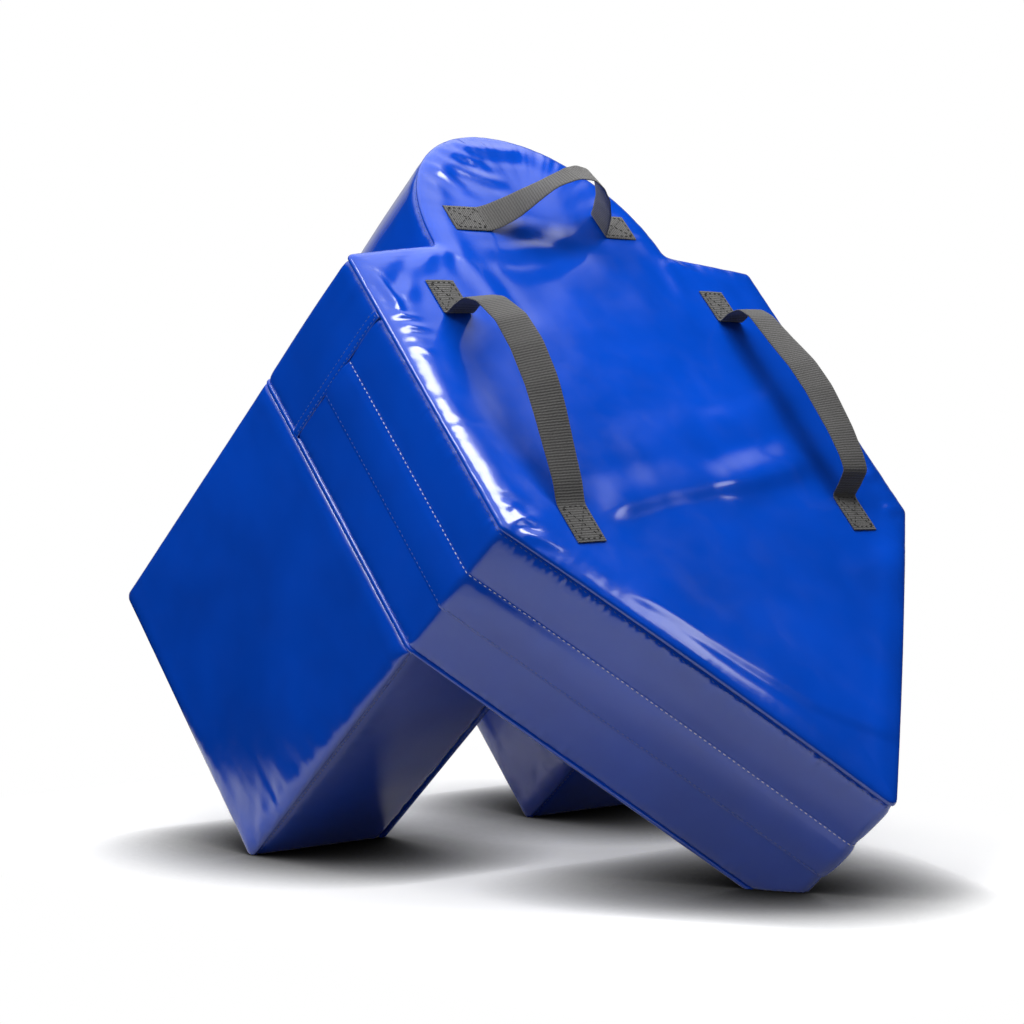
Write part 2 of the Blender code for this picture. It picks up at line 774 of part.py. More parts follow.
def make_stitching(shield, finish, name, low, high):
    """The sewn box with a cross in it that holds a tab down."""
    top = -SEAM_GAP - STRAP_THICKNESS - SEAM_GAP
    outer = rectangle(low, high, -BOX_MARGIN)
    centre = tuple((Vector(low) + Vector(high)) / 2)
    windows = []
    for corner, following in zip(outer, outer[1:] + outer[:1]):
        windows.append(inset([corner, following, centre], THREAD_WIDTH))
    shield.add(name, flat_solid(outer, top - THREAD_THICKNESS, top, holes=windows), finish)


def make_side_handles(shield, finish, thread, patch):
    start = SIDE_HANDLE_TOP + TAB_LENGTH
    end = SIDE_HANDLE_BOTTOM - TAB_LENGTH
    sides = (
        ("left", -1, LEFT_PEAK_SHARE, LEFT_STRAP_SHARES),
        ("right", 1, RIGHT_PEAK_SHARE, RIGHT_STRAP_SHARES),
    )
    for name, side, peak, shares in sides:
        line = strap_curve(start, end, SIDE_HANDLE_RISE, peak, shares)
        centre = side * (PANEL_WIDTH / 2 - SIDE_HANDLE_INSET)
        make_handle(shield, finish, thread, patch, name, ("upper", "lower"), line, centre, "u")


def make_head_handle(shield, finish, thread, patch):
    reach = HEAD_HANDLE_SPAN / 2 - TAB_LENGTH
    line = strap_curve(-reach, reach, HEAD_HANDLE_RISE, HEAD_PEAK_SHARE, HEAD_STRAP_SHARES)
    make_handle(
        shield, finish, thread, patch, "head", ("left", "right"), line, -HEAD_HANDLE_PLACE, "v"
    )


def main():
    clear_scene()
    shield = Shield()
    coated = material("coated_fabric", (0.004, 0.070, 0.560), 0.22)
    lining = material("reinforcing_fabric", (0.004, 0.045, 0.330), 0.40)
    foam = material("foam", (0.72, 0.70, 0.62), 0.95)
    webbing = material("webbing", (0.060, 0.060, 0.055), 0.80)
    thread = material("thread", (0.030, 0.030, 0.030), 0.70)
    zip_fabric = material("zip_tape", (0.010, 0.012, 0.030), 0.75)
    zip_metal = material("zip_metal", (0.55, 0.55, 0.56), 0.35, 1.0)
    make_face_panel(shield, coated)
    make_back_panel(shield, coated)
    make_hood_gusset(shield, coated)
    make_front_strip(shield, coated)
    make_rear_strip(shield, coated)
    make_zip_flap(shield, coated)
    make_torso_foam(shield, foam)
    make_head_foam(shield, foam)
    for name, side in (("left", -1), ("right", 1)):
        make_leg_cover(shield, coated, name, side)
        make_leg_foam(shield, foam, name, side)
    make_zip_stringers(shield, zip_fabric)
    make_zip_slider(shield, zip_metal)
    make_zip_stops(shield, zip_metal)
    make_side_handles(shield, webbing, thread, lining)
    make_head_handle(shield, webbing, thread, lining)
    shield.stand()


main()
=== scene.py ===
"""Looks for the tackle shield: its sewn, padded cover, its webbing handles, its thread, its
zip and its foam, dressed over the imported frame, and the studio that it stands in."""

import math

import bmesh
import bpy
import numpy as np
from bpy.props import FloatProperty, FloatVectorProperty, PointerProperty
from bpy.types import Operator, Panel, PropertyGroup
from mathutils import Matrix, Vector, noise


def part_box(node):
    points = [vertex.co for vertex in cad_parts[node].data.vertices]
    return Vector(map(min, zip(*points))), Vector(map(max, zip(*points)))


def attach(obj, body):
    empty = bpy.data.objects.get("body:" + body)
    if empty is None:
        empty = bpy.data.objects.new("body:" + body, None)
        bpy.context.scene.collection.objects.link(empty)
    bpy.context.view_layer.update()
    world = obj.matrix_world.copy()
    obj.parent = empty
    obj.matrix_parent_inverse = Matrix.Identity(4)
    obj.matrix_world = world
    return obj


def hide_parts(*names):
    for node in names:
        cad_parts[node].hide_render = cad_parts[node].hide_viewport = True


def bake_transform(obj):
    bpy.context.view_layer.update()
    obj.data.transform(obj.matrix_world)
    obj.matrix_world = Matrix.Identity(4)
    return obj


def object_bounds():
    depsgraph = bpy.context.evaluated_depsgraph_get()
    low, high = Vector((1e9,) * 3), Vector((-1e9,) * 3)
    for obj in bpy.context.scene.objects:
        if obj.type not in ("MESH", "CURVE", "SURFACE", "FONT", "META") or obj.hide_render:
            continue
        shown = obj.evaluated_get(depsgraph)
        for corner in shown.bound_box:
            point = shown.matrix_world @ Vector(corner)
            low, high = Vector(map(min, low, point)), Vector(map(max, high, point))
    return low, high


bl_info = {
    "name": "Tackle Shield Looks",
    "version": (1, 0, 0),
    "blender": (4, 5, 0),
    "location": "3D View > Sidebar > Tackle Shield",
    "description": "Dresses the tackle shield in its cover, handles and stitching",
    "category": "Add Mesh",
}

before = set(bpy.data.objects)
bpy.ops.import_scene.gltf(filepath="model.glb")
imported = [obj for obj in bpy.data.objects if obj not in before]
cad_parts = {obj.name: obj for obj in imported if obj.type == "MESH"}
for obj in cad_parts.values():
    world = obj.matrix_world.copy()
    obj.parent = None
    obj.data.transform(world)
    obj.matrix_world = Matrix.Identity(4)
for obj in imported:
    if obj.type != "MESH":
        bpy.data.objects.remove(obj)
CAD_BOX = [list(corner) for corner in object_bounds()]

# The shield's own sizes, in metres. u runs across it, v down its face, n into its body.
PANEL_WIDTH = 0.650
PANEL_DEPTH = 0.220
TORSO_LENGTH = 0.400
TIP = 0.800
NECK_WIDTH = 0.370
NECK_RISE = 0.019
HEAD_RISE = 0.201
HEAD_TOP = -NECK_RISE - HEAD_RISE
LEG_WIDTH = 0.210
LEG_INNER = PANEL_WIDTH / 2 - LEG_WIDTH
LEG_END = 0.620
TIP_TREAD = 0.165
LEG_SQUASH = 0.004
HEM_BOTTOM = 0.092
HEM_WIDTH = 0.014
FLAP_SEAM = 0.078
FLAP_EDGE = 0.140
FLAP_ARCH = 0.003
SEAM_GAP = 0.0003
FACE_CROWN = 0.008
LEG_CROWN = 0.0035
FIRM_HEIGHT = 0.012
YIELD_HEIGHT = 0.070
STRAP_WIDTH = 0.040
STRAP_THICKNESS = 0.002
STRAP_LIFT = 0.0003
TAB_LENGTH = 0.053
GRIP_CUT = 0.040
COVER_THICKNESS = 0.001

LEG_TO_TIP = LEG_END - TIP_TREAD
LEAN = math.acos(LEG_SQUASH / math.hypot(LEG_TO_TIP, TORSO_LENGTH))
LEAN -= math.atan2(TORSO_LENGTH, LEG_TO_TIP)
DOWN_SHARE = math.sin(LEAN)
IN_SHARE = math.cos(LEAN)
FLOOR_DROP = TIP * DOWN_SHARE + TIP_TREAD * IN_SHARE
BACK_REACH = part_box("left_leg_inner_panel")[1].y - LEG_END * DOWN_SHARE

# A panel's edge where it is turned in to its seam: how far in from the edge, and how far back
TURNED_IN = (0.0058, 0.0028, 0.0012, 0.0002, 0.0, 0.0004, 0.0016)
TURNED_BACK = (0.0098, 0.0092, 0.0085, 0.0072, 0.0058, 0.0044, 0.0030)
# The same edge further in: how far back a panel lies at each distance from its edge
ROLL_IN = (0.0016, 0.0040, 0.0080, 0.0140, 0.0220, 0.0320)
ROLL_BACK = (0.0030, 0.0019, 0.0010, 0.0004, 0.0001, 0.0)
# A strip's edge at the same seam: how far back from the panel's plane, and how far out
STRIP_DEPTHS = (0.0086, 0.0098, 0.0118, 0.0145, 0.0178, 0.0215, 0.0260)
STRIP_RISES = (-0.0056, -0.0043, -0.0028, -0.0015, -0.0006, -0.0001, 0.0001)
# Where a strip comes out of its seam, how soon its puckers begin there, and from where they fade
SEAM_MOUTH = 0.0088
SEAM_BEGINS = 0.0020
SEAM_PAST = 0.0100
# How far in from a leg's side its seam with the wrap lies
LEG_SEAM_INSET = 0.0098
# A panel that lies further back than this is turned in to its seam, and has no waves
FIRM_BACK = 0.004
# How round the outline's corners are, and those of a leg's wrap and of its side panels
CORNER = 0.012
SHOULDER_CORNER = 0.009
WRAP_CORNER = 0.007
LEG_CORNER = 0.008
# How far the strips run on under the hood's hem, and how far short of its line the flap ends
HEM_LAP = 0.010
FLAP_SHORT = 0.0006
# Where the rear strip begins, under the flap
REAR_STRIP_START = 0.1290
# How far inside a leg's outline the back is cut away
WINDOW_MARGIN = 0.012
# Points of the outline that are further out than this are on a straight side
SIDE_OUT = 0.3
# Spacing of the meshes' points
OUTLINE_STEP = 0.0028
STRIP_COLUMN = 0.0022
STRIP_ROW = 0.004
LEG_ROW = 0.0055
LEG_COLUMN = 0.0036
WRAP_COLUMN = 0.0042
STRAP_COLUMN = 0.0035


# Sizes and colours that a user would change


class CoverSettings(PropertyGroup):
    blue: FloatVectorProperty(
        name="Blue", description="Colour of the coated fabric", subtype="COLOR",
        size=3, min=0.0, max=1.0, default=(0.0006, 0.070, 0.600),
    )
    gloss: FloatProperty(
        name="Roughness", description="How much the coating blurs what it reflects",
        min=0.0, max=1.0, default=0.15,
    )
    pucker: FloatProperty(
        name="Pucker", description="Height of the puckers along the seams",
        unit="LENGTH", min=0.0, max=0.004, default=0.0008,
    )
    wave: FloatProperty(
        name="Wave", description="Height of the slow waves in the panels",
        unit="LENGTH", min=0.0, max=0.006, default=0.0016,
    )


class HandleSettings(PropertyGroup):
    charcoal: FloatVectorProperty(
        name="Charcoal", description="Colour of the webbing", subtype="COLOR",
        size=3, min=0.0, max=1.0, default=(0.058, 0.0565, 0.0555),
    )
    rib: FloatProperty(
        name="Rib", description="Spacing of the webbing's ribs",
        unit="LENGTH", min=0.0005, max=0.005, default=0.0032,
    )


class ThreadSettings(PropertyGroup):
    stitch: FloatProperty(
        name="Stitch", description="Length of one stitch",
        unit="LENGTH", min=0.001, max=0.010, default=0.0064,
    )
    thickness: FloatProperty(
        name="Thread", description="Thickness of the sewing thread",
        unit="LENGTH", min=0.0002, max=0.002, default=0.0011,
    )
    pale: FloatVectorProperty(
        name="Pale thread", description="Colour of the cover's thread", subtype="COLOR",
        size=3, min=0.0, max=1.0, default=(0.86, 0.88, 0.95),
    )


class StageSettings(PropertyGroup):
    floor_radius: FloatProperty(
        name="Floor radius", description="How far the floor reaches",
        unit="LENGTH", min=2.0, max=40.0, default=3.5,
    )
    lens: FloatProperty(
        name="Lens", description="Focal length of the camera",
        subtype="DISTANCE_CAMERA", min=20.0, max=300.0, default=91.9,
    )


def settings():
    """The scene, which holds the four groups of settings."""
    return bpy.context.scene


# Shapes of numbers, the shield's directions, its padding, and noise


def arch(place, low, high):
    """A parabola that is 1 halfway from low to high, and 0 at both and beyond."""
    share = 2 * (place - low) / (high - low) - 1
    return np.clip(1 - share * share, 0, None)


def eased(share):
    """A share from 0 to 1 that starts and ends slowly."""
    return share * share * (3 - 2 * share)


def since(x, start, width):
    """0 before start, 1 past start + width, and a straight line between."""
    return np.clip((x - start) / width, 0, 1)


def after(x, place, width):
    """A smooth change from 0 to 1 as x passes a place."""
    return 1 / (1 + np.exp((place - x) / width))


def hump(x, centre, width):
    """A smooth hump of height 1."""
    return np.exp(-((x - centre) / width) ** 2)


def unit(vectors):
    """The directions of vectors."""
    return vectors / np.linalg.norm(vectors, axis=-1)[..., None]


def lengths_along(points):
    """How far along a line each of its points lies."""
    return np.concatenate([[0], np.cumsum(np.linalg.norm(np.diff(points, axis=0), axis=1))])


def sampled(places, lengths, points):
    """Points at places along a line whose own points lie at lengths."""
    return np.stack([np.interp(places, lengths, column) for column in points.T], axis=-1)


def lifted(points, outward, lift):
    """The two coordinates of points of a flat line, moved outward by lifts."""
    return points[:, 0] + outward[:, 0] * lift, points[:, 1] + outward[:, 1] * lift


def left_of(line):
    """The direction to the left at each point of an open flat line."""
    ahead = unit(np.gradient(line, axis=0))
    return np.stack([-ahead[:, 1], ahead[:, 0]], axis=1)


def gridded(s, n, third=None):
    """A grid of (s, n) places in rows of s, with a third coordinate if one is given."""
    grid = np.stack(np.meshgrid(s, n, indexing="xy"), axis=-1)
    if third is None:
        return grid
    return np.concatenate([grid, np.full(grid.shape[:2] + (1,), third)], axis=-1)


def swell(u, v, n):
    """Where the padding pushes points of the flat-sided shield, as in the frame."""
    height = FLOOR_DROP - v * DOWN_SHARE - n * IN_SHARE
    give = since(height, FIRM_HEIGHT, YIELD_HEIGHT)
    across = arch(u, -PANEL_WIDTH / 2, PANEL_WIDTH / 2)
    crown = across * arch(v, HEAD_TOP, TIP) * (1 - np.clip(n, 0, PANEL_DEPTH) / PANEL_DEPTH)
    side = np.sign(u)
    off_leg = arch(np.abs(u), LEG_INNER, PANEL_WIDTH / 2)
    down = arch(v, 0, TORSO_LENGTH)
    out = arch(n, PANEL_DEPTH, LEG_END)
    off_centre = 2 * (np.abs(u) - LEG_INNER) / LEG_WIDTH - 1
    below_centre = 2 * v / TORSO_LENGTH - 1
    past_back = (n - PANEL_DEPTH) / (LEG_END - PANEL_DEPTH)
    on_leg = n > PANEL_DEPTH
    new_u = u + np.where(on_leg, side * LEG_CROWN * off_centre * down * out * give, 0)
    new_v = v + np.where(on_leg, LEG_CROWN * below_centre * off_leg * out * give, 0)
    leg_n = LEG_CROWN * past_back * off_leg * down * give
    new_n = n + np.where(on_leg, leg_n, -FACE_CROWN * crown * give)
    return new_u, new_v, new_n


def stood(u, v, n):
    """Points of the shield as the standing object has them, pressed flat on the floor."""
    y = -v * IN_SHARE + n * DOWN_SHARE + BACK_REACH
    z = FLOOR_DROP - v * DOWN_SHARE - n * IN_SHARE
    return np.stack(np.broadcast_arrays(u, y, np.maximum(z, 0.0)), axis=-1)


def noise_along(s, length, seed):
    """Noise along a seam, laid on a ring so that it meets itself where the seam does."""
    turn = 2 * math.pi / SEAM_RING
    reach = SEAM_RING / (2 * math.pi * length)
    values = []
    for place in np.ravel(s):
        angle = turn * place
        values.append(noise.noise((reach * math.cos(angle), reach * math.sin(angle), seed * 3.71)))
    return np.array(values).reshape(np.shape(s))


def ripple(s, wavelength, seed):
    """An uneven wave along a seam, from about -1 to 1."""
    return 1.7 * noise_along(s, wavelength * 0.6, seed)


def patchy(s, length, seed):
    """Where along a seam the puckers are strong, from 0 to 1."""
    return np.clip(0.45 + 1.1 * noise_along(s, length * 0.5, seed + 0.37), 0, 1)


def mottle(points, scale, seed):
    """Soft noise over points, from about -1 to 1."""
    shift = Vector((seed * 3.7, seed * 1.3, -seed * 2.1))
    flat = points.reshape(-1, 3)
    values = [noise.noise(Vector(p) / scale + shift) for p in flat]
    return np.array(values).reshape(points.shape[:-1])


def along_path(u, v, path):
    """How far places are to either side of a path, how far along it, and the path's length."""
    best = np.full(u.shape, 1e9)
    signed = np.zeros(u.shape)
    along = np.zeros(u.shape)
    passed = 0.0
    for (au, av), (bu, bv) in zip(path, path[1:]):
        length = math.dist((au, av), (bu, bv))
        share = np.clip(((u - au) * (bu - au) + (v - av) * (bv - av)) / length ** 2, 0, 1)
        away = np.hypot(u - au - share * (bu - au), v - av - share * (bv - av))
        side = (bu - au) * (v - av) - (bv - av) * (u - au)
        closer = away < best
        best = np.where(closer, away, best)
        signed = np.where(closer, np.where(side < 0, -away, away), signed)
        along = np.where(closer, passed + share * length, along)
        passed += length
    return signed, along, passed


def fading_ends(along, total, reach):
    """0 at both ends of a path and 1 further than a reach from them."""
    return eased(np.clip(along / reach, 0, 1) * np.clip((total - along) / reach, 0, 1))


def fold(u, v, path, width, height, reach=0.03):
    """A raised fold along a path of (u, v) points, with a hollow on each side, fading at its ends."""
    signed, along, total = along_path(u, v, path)
    x = np.abs(signed) / width
    shape = hump(x, 0.0, 1.0) - 0.5 * hump(x, 1.9, 1.0)
    return height * fading_ends(along, total, reach) * shape


def ridge(u, v, path, rise, fall, height, reach=0.05):
    """A long wave along a path of (u, v) points, rising slowly from its left and falling past it."""
    signed, along, total = along_path(u, v, path)
    before = eased(np.clip(1 + signed / rise, 0, 1))
    past = eased(np.clip(1 - signed / fall, 0, 1))
    shape = np.where(signed < 0, before, past)
    return height * shape * fading_ends(along, total, reach)


# Outlines


def rounded(corners, step, closed=True):
    """Points along an outline of (x, y, radius) corners, evenly spaced, starting at the first."""
    points = []
    count = len(corners)
    for i, (x, y, radius) in enumerate(corners):
        here = np.array((x, y))
        inner = closed or 0 < i < count - 1
        if not radius or not inner:
            points.append(here)
            continue
        before = unit(here - np.array(corners[i - 1][:2]))
        ahead = unit(np.array(corners[(i + 1) % count][:2]) - here)
        turn = math.acos(float(np.clip(before @ ahead, -1, 1)))
        tangent = radius * math.tan(turn / 2)
        for share in np.linspace(0, 1, 9):
            a = here - before * tangent * (1 - share)
            b = here + ahead * tangent * share
            points.append(a + (b - a) * share)
    points = np.array(points)
    if closed:
        points = np.vstack([points, points[:1]])
    lengths = lengths_along(points)
    pieces = max(2, int(round(lengths[-1] / step)))
    pieces += pieces % 2
    made = sampled(np.linspace(0, lengths[-1], pieces + 1), lengths, points)
    return made[:-1] if closed else made


def outward_of(points):
    """The outward direction at each point of a closed outline."""
    ahead = unit(np.roll(points, -1, axis=0) - np.roll(points, 1, axis=0))
    outward = np.stack([ahead[:, 1], -ahead[:, 0]], axis=1)
    return outward * np.sign(((points - points.mean(axis=0)) * outward).sum())


class Outline:
    """The shield's outline from the tip, up its left side, over the head and down its right."""

    def __init__(self, step):
        side = PANEL_WIDTH / 2
        neck = NECK_WIDTH / 2
        corners = [
            (side, TORSO_LENGTH, 0), (0, TIP, CORNER), (-side, TORSO_LENGTH, CORNER),
            (-side, 0, SHOULDER_CORNER), (-neck, -NECK_RISE, CORNER),
        ]
        for k in range(1, 24):
            angle = math.pi / 2 * k / 24
            rise = NECK_RISE + HEAD_RISE * math.sin(angle)
            corners.append((-neck * math.cos(angle), -rise, 0))
        corners.append((0, HEAD_TOP, 0))
        dense = rounded(corners, step / 8, closed=False)
        half = dense[int(np.argmin(np.abs(dense[:, 0]) + (dense[:, 1] < 0.5))):]
        lengths = lengths_along(half)
        half = sampled(np.linspace(0, lengths[-1], int(lengths[-1] / step) + 1), lengths, half)
        half[0, 0] = half[-1, 0] = 0.0
        self.points = np.vstack([half, half[-2:0:-1] * (-1, 1)])
        self.outward = outward_of(self.points)
        following = np.vstack([self.points, self.points[:1]])
        self.places = lengths_along(following)
        self.along = self.places[:-1]
        self.length = float(self.places[-1])

    def at(self, s):
        """Points and outward directions at distances along the outline."""
        wrapped = np.mod(s, self.length)
        found = []
        for table in (self.points, self.outward):
            found.append(sampled(wrapped, self.places, np.vstack([table, table[:1]])))
        return found[0], unit(found[1])

    def where(self, v, side):
        """The distance along the outline at which the straight side passes a given v."""
        half = len(self.points) // 2
        part = range(half) if side < 0 else range(len(self.points) - 1, half, -1)
        rows = [i for i in part if abs(abs(self.points[i, 0]) - PANEL_WIDTH / 2) < 0.001]
        rows.sort(key=lambda i: self.points[i, 1])
        return float(np.interp(v, self.points[rows, 1], self.along[rows]))

    def nearest(self, flat):
        """For (u, v) places, how far in from the outline they are, and where along it."""
        following = np.roll(self.points, -1, axis=0) - self.points
        size = (following ** 2).sum(axis=1)
        away = np.full(len(flat), 1e9)
        along = np.zeros(len(flat))
        for k, start in enumerate(self.points):
            share = np.clip(((flat - start) @ following[k]) / size[k], 0, 1)
            gap = np.hypot(*(flat - start - share[:, None] * following[k]).T)
            closer = gap < away
            away = np.where(closer, gap, away)
            along = np.where(closer, self.along[k] + share * math.sqrt(size[k]), along)
        return away, along


OUTLINE = Outline(OUTLINE_STEP)
SEAM_RING = OUTLINE.length
# A point inside the torso, which its cover faces away from
TORSO_MIDDLE = stood(0.0, 0.2, 0.11).tolist()


# Making meshes


def grid_mesh(name, places, uvs, closed=False):
    """A mesh of a grid of points (rows, columns, 3), with its flat sizes as its UV map."""
    rows, columns = places.shape[:2]
    mesh = bpy.data.meshes.new(name)
    span = columns if closed else columns - 1
    i, j = np.meshgrid(np.arange(rows - 1), np.arange(span), indexing="ij")
    following = (j + 1) % columns
    here = i * columns
    quads = [here + j, here + following, here + columns + following, here + columns + j]
    quads = np.stack(quads, axis=-1).reshape(-1, 4)
    mesh.from_pydata(places.reshape(-1, 3).tolist(), [], quads.tolist())
    layer = mesh.uv_layers.new(name="flat")
    layer.data.foreach_set("uv", uvs.reshape(-1, 2)[quads.reshape(-1)].astype(np.float32).ravel())
    return mesh


def reshape(mesh, change):
    """Pass a mesh through bmesh to change it."""
    work = bmesh.new()
    work.from_mesh(mesh)
    change(work)
    work.to_mesh(mesh)
    work.free()
    return mesh


def tidy(mesh, inside):
    """Join what meets, face the mesh away from a point inside it and shade it smooth."""

    def change(work):
        bmesh.ops.remove_doubles(work, verts=work.verts, dist=0.00005)
        bmesh.ops.recalc_face_normals(work, faces=work.faces)
        total = 0.0
        for face in work.faces:
            total += face.normal.dot(face.calc_center_median() - Vector(inside)) * face.calc_area()
        if total < 0:
            bmesh.ops.reverse_faces(work, faces=work.faces)

    reshape(mesh, change)
    mesh.shade_smooth()
    return mesh


def close_ends(mesh):
    """Fill the open ends of a tube and shade it smooth."""

    def change(work):
        rim = [edge for edge in work.edges if edge.is_boundary]
        bmesh.ops.holes_fill(work, edges=rim, sides=0)
        bmesh.ops.recalc_face_normals(work, faces=work.faces)

    reshape(mesh, change)
    mesh.shade_smooth()


def add_piece(name, mesh, finish, body, nodes=(), thickness=0.0):
    """A piece of the shield. A sheet is thickened on its inner side."""
    piece = bpy.data.objects.new(name, mesh)
    bpy.context.scene.collection.objects.link(piece)
    piece.data.materials.append(finish)
    if thickness:
        solid = piece.modifiers.new("thickness", "SOLIDIFY")
        solid.thickness = thickness
        solid.offset = -1.0
        solid.use_rim = True
    if body:
        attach(piece, body)
    if nodes:
        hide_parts(*nodes)
    return piece


def add_cover(name, mesh, node):
    """A panel or strip of the cover, drawn tight over the foam."""
    fabric = finish_named("coated_fabric")
    add_piece(name, mesh, fabric, "shield", [node], COVER_THICKNESS)


def joined(name, parts):
    """One mesh made of several, each a (points, faces) pair."""
    points = []
    faces = []
    for part_points, part_faces in parts:
        start = len(points)
        points += part_points
        faces += [tuple(start + k for k in face) for face in part_faces]
    mesh = bpy.data.meshes.new(name)
    mesh.from_pydata(points, [], faces)
    return mesh


# Finishes


class Nodes:
    """Short ways to add to a node tree."""

    def __init__(self, tree):
        self.tree = tree

    def node(self, kind, **values):
        made = self.tree.nodes.new(kind)
        for key, value in values.items():
            if key in made.inputs:
                made.inputs[key].default_value = value
            else:
                setattr(made, key.lower(), value)
        return made

    def link(self, out, into):
        self.tree.links.new(out, into)

    def noise(self, coordinates, scale, detail=2.0, roughness=0.5):
        made = self.node("ShaderNodeTexNoise", Scale=scale, Detail=detail, Roughness=roughness)
        self.link(coordinates, made.inputs["Vector"])
        return made.outputs["Fac"]

    def between(self, value, low, high, to_low, to_high, smooth=False):
        made = self.node("ShaderNodeMapRange")
        if smooth:
            made.interpolation_type = "SMOOTHSTEP"
        ends = {"From Min": low, "From Max": high, "To Min": to_low, "To Max": to_high}
        for name, number in ends.items():
            made.inputs[name].default_value = number
        self.link(value, made.inputs["Value"])
        return made.outputs["Result"]

    def mix(self, share, first, second):
        made = self.node("ShaderNodeMix")
        made.data_type = "RGBA"
        self.link(share, made.inputs["Factor"])
        made.inputs[6].default_value = (*first, 1.0)
        made.inputs[7].default_value = (*second, 1.0)
        return made.outputs[2]

    def feed(self, value, socket):
        """Give a socket a number, or link an output to it."""
        if isinstance(value, (int, float)):
            socket.default_value = value
        else:
            self.link(value, socket)

    def math(self, operation, first, second):
        made = self.node("ShaderNodeMath")
        made.operation = operation
        self.feed(first, made.inputs[0])
        self.feed(second, made.inputs[1])
        return made.outputs[0]

    def vectors(self, operation, first, second=None):
        """What a vector operation gives. Its second vector is a plain one."""
        made = self.node("ShaderNodeVectorMath")
        made.operation = operation
        self.link(first, made.inputs[0])
        if second:
            made.inputs[1].default_value = second
        return made.outputs["Value" if operation in ("LENGTH", "DOT_PRODUCT") else "Vector"]

    def blend(self, share, first, second):
        """A number between two others."""
        made = self.node("ShaderNodeMix")
        for k, value in ((0, share), (2, first), (3, second)):
            self.feed(value, made.inputs[k])
        return made.outputs[0]

    def bump(self, height, distance, strength=1.0, under=None):
        made = self.node("ShaderNodeBump")
        made.inputs["Distance"].default_value = distance
        made.inputs["Strength"].default_value = strength
        self.link(height, made.inputs["Height"])
        if under:
            self.link(under, made.inputs["Normal"])
        return made.outputs["Normal"]


class Finish(Nodes):
    """A node material."""

    def __init__(self, name):
        self.material = bpy.data.materials.new(name)
        self.material.use_nodes = True
        super().__init__(self.material.node_tree)
        self.shader = self.tree.nodes["Principled BSDF"]

    def place(self):
        """Where a point is on its own piece."""
        return self.node("ShaderNodeTexCoord").outputs["Object"]

    def flat(self):
        """Where a point is on its fabric, laid flat."""
        return self.node("ShaderNodeUVMap", uv_map="flat").outputs["UV"]

    def colour(self, share, first, second):
        self.link(self.mix(share, first, second), self.shader.inputs["Base Color"])

    def normal(self, bumped):
        self.link(bumped, self.shader.inputs["Normal"])

    def values(self, numbers):
        """Uniform numbers, set on the shader's own sockets."""
        for name, number in numbers.items():
            self.shader.inputs[name].default_value = number


def coated_fabric(name="coated_fabric", darker=1.0, rougher=0.0):
    """Heavy coated fabric: a smooth glossy coat over a scrim whose weave just shows through."""
    cover = settings().shield_cover
    finish = Finish(name)
    blue = tuple(c * darker for c in cover.blue)
    deep = tuple(c * 0.80 for c in blue)
    place = finish.place()
    cloud = finish.noise(place, 6.0, 3.0)
    finish.colour(finish.between(cloud, 0.35, 0.65, 0.0, 1.0), deep, blue)
    smear = finish.noise(place, 28.0, 4.0, 0.6)
    gloss = cover.gloss + rougher
    rough = finish.between(smear, 0.3, 0.7, gloss - 0.04, gloss + 0.07)
    finish.link(rough, finish.shader.inputs["Roughness"])
    flat = finish.flat()
    scrim_u = finish.node("ShaderNodeTexWave", Scale=110.0, bands_direction="X")
    scrim_v = finish.node("ShaderNodeTexWave", Scale=110.0, bands_direction="Y")
    finish.link(flat, scrim_u.inputs["Vector"])
    finish.link(flat, scrim_v.inputs["Vector"])
    weave = finish.math("ADD", scrim_u.outputs["Fac"], scrim_v.outputs["Fac"])
    scrim = finish.bump(weave, 0.00002, 0.35)
    drape = finish.bump(finish.noise(place, 22.0, 2.0), 0.0006, 0.6, scrim)
    creep = finish.bump(finish.noise(place, 75.0, 2.0), 0.00012, 0.5, drape)
    finish.normal(creep)
    finish.values({"IOR": 1.5, "Coat Weight": 0.8, "Coat Roughness": 0.115})
    finish.material.diffuse_color = (*blue, 1.0)
    return finish.material


def webbing():
    """Heavy charcoal webbing: ribs across it, with a faint cord and a slant of thread on them."""
    handles = settings().shield_handles
    finish = Finish("webbing")
    flat = finish.flat()
    scale = 0.5 / handles.rib
    waves = []
    for share, wander, way in ((0.62, 1.2, "X"), (0.40, 0.8, "Y"), (0.8, 0.8, "DIAGONAL")):
        wave = finish.node("ShaderNodeTexWave", Scale=scale * share, Distortion=wander)
        wave.bands_direction = way
        finish.link(flat, wave.inputs["Vector"])
        waves.append(wave.outputs["Fac"])
    cord = finish.math("MULTIPLY", waves[1], 0.14)
    twill = finish.math("MULTIPLY", waves[2], 0.30)
    threads = finish.math("ADD", finish.math("ADD", waves[0], cord), twill)
    fuzz = finish.noise(flat, 900.0, 3.0, 0.7)
    ribs = finish.math("MULTIPLY", threads, 0.7)
    worn = finish.math("ADD", ribs, finish.math("MULTIPLY", fuzz, 0.5))
    dark = tuple(c * 0.70 for c in handles.charcoal)
    pale = tuple(c * 1.45 for c in handles.charcoal)
    finish.colour(finish.between(worn, 0.35, 1.35, 0.0, 1.0), dark, pale)
    grain = finish.bump(threads, 0.0004, 0.9)
    finish.normal(finish.bump(fuzz, 0.0001, 0.7, grain))
    finish.values({"Roughness": 0.82, "Sheen Weight": 0.25, "Sheen Roughness": 0.5})
    finish.material.diffuse_color = (*handles.charcoal, 1.0)
    return finish.material


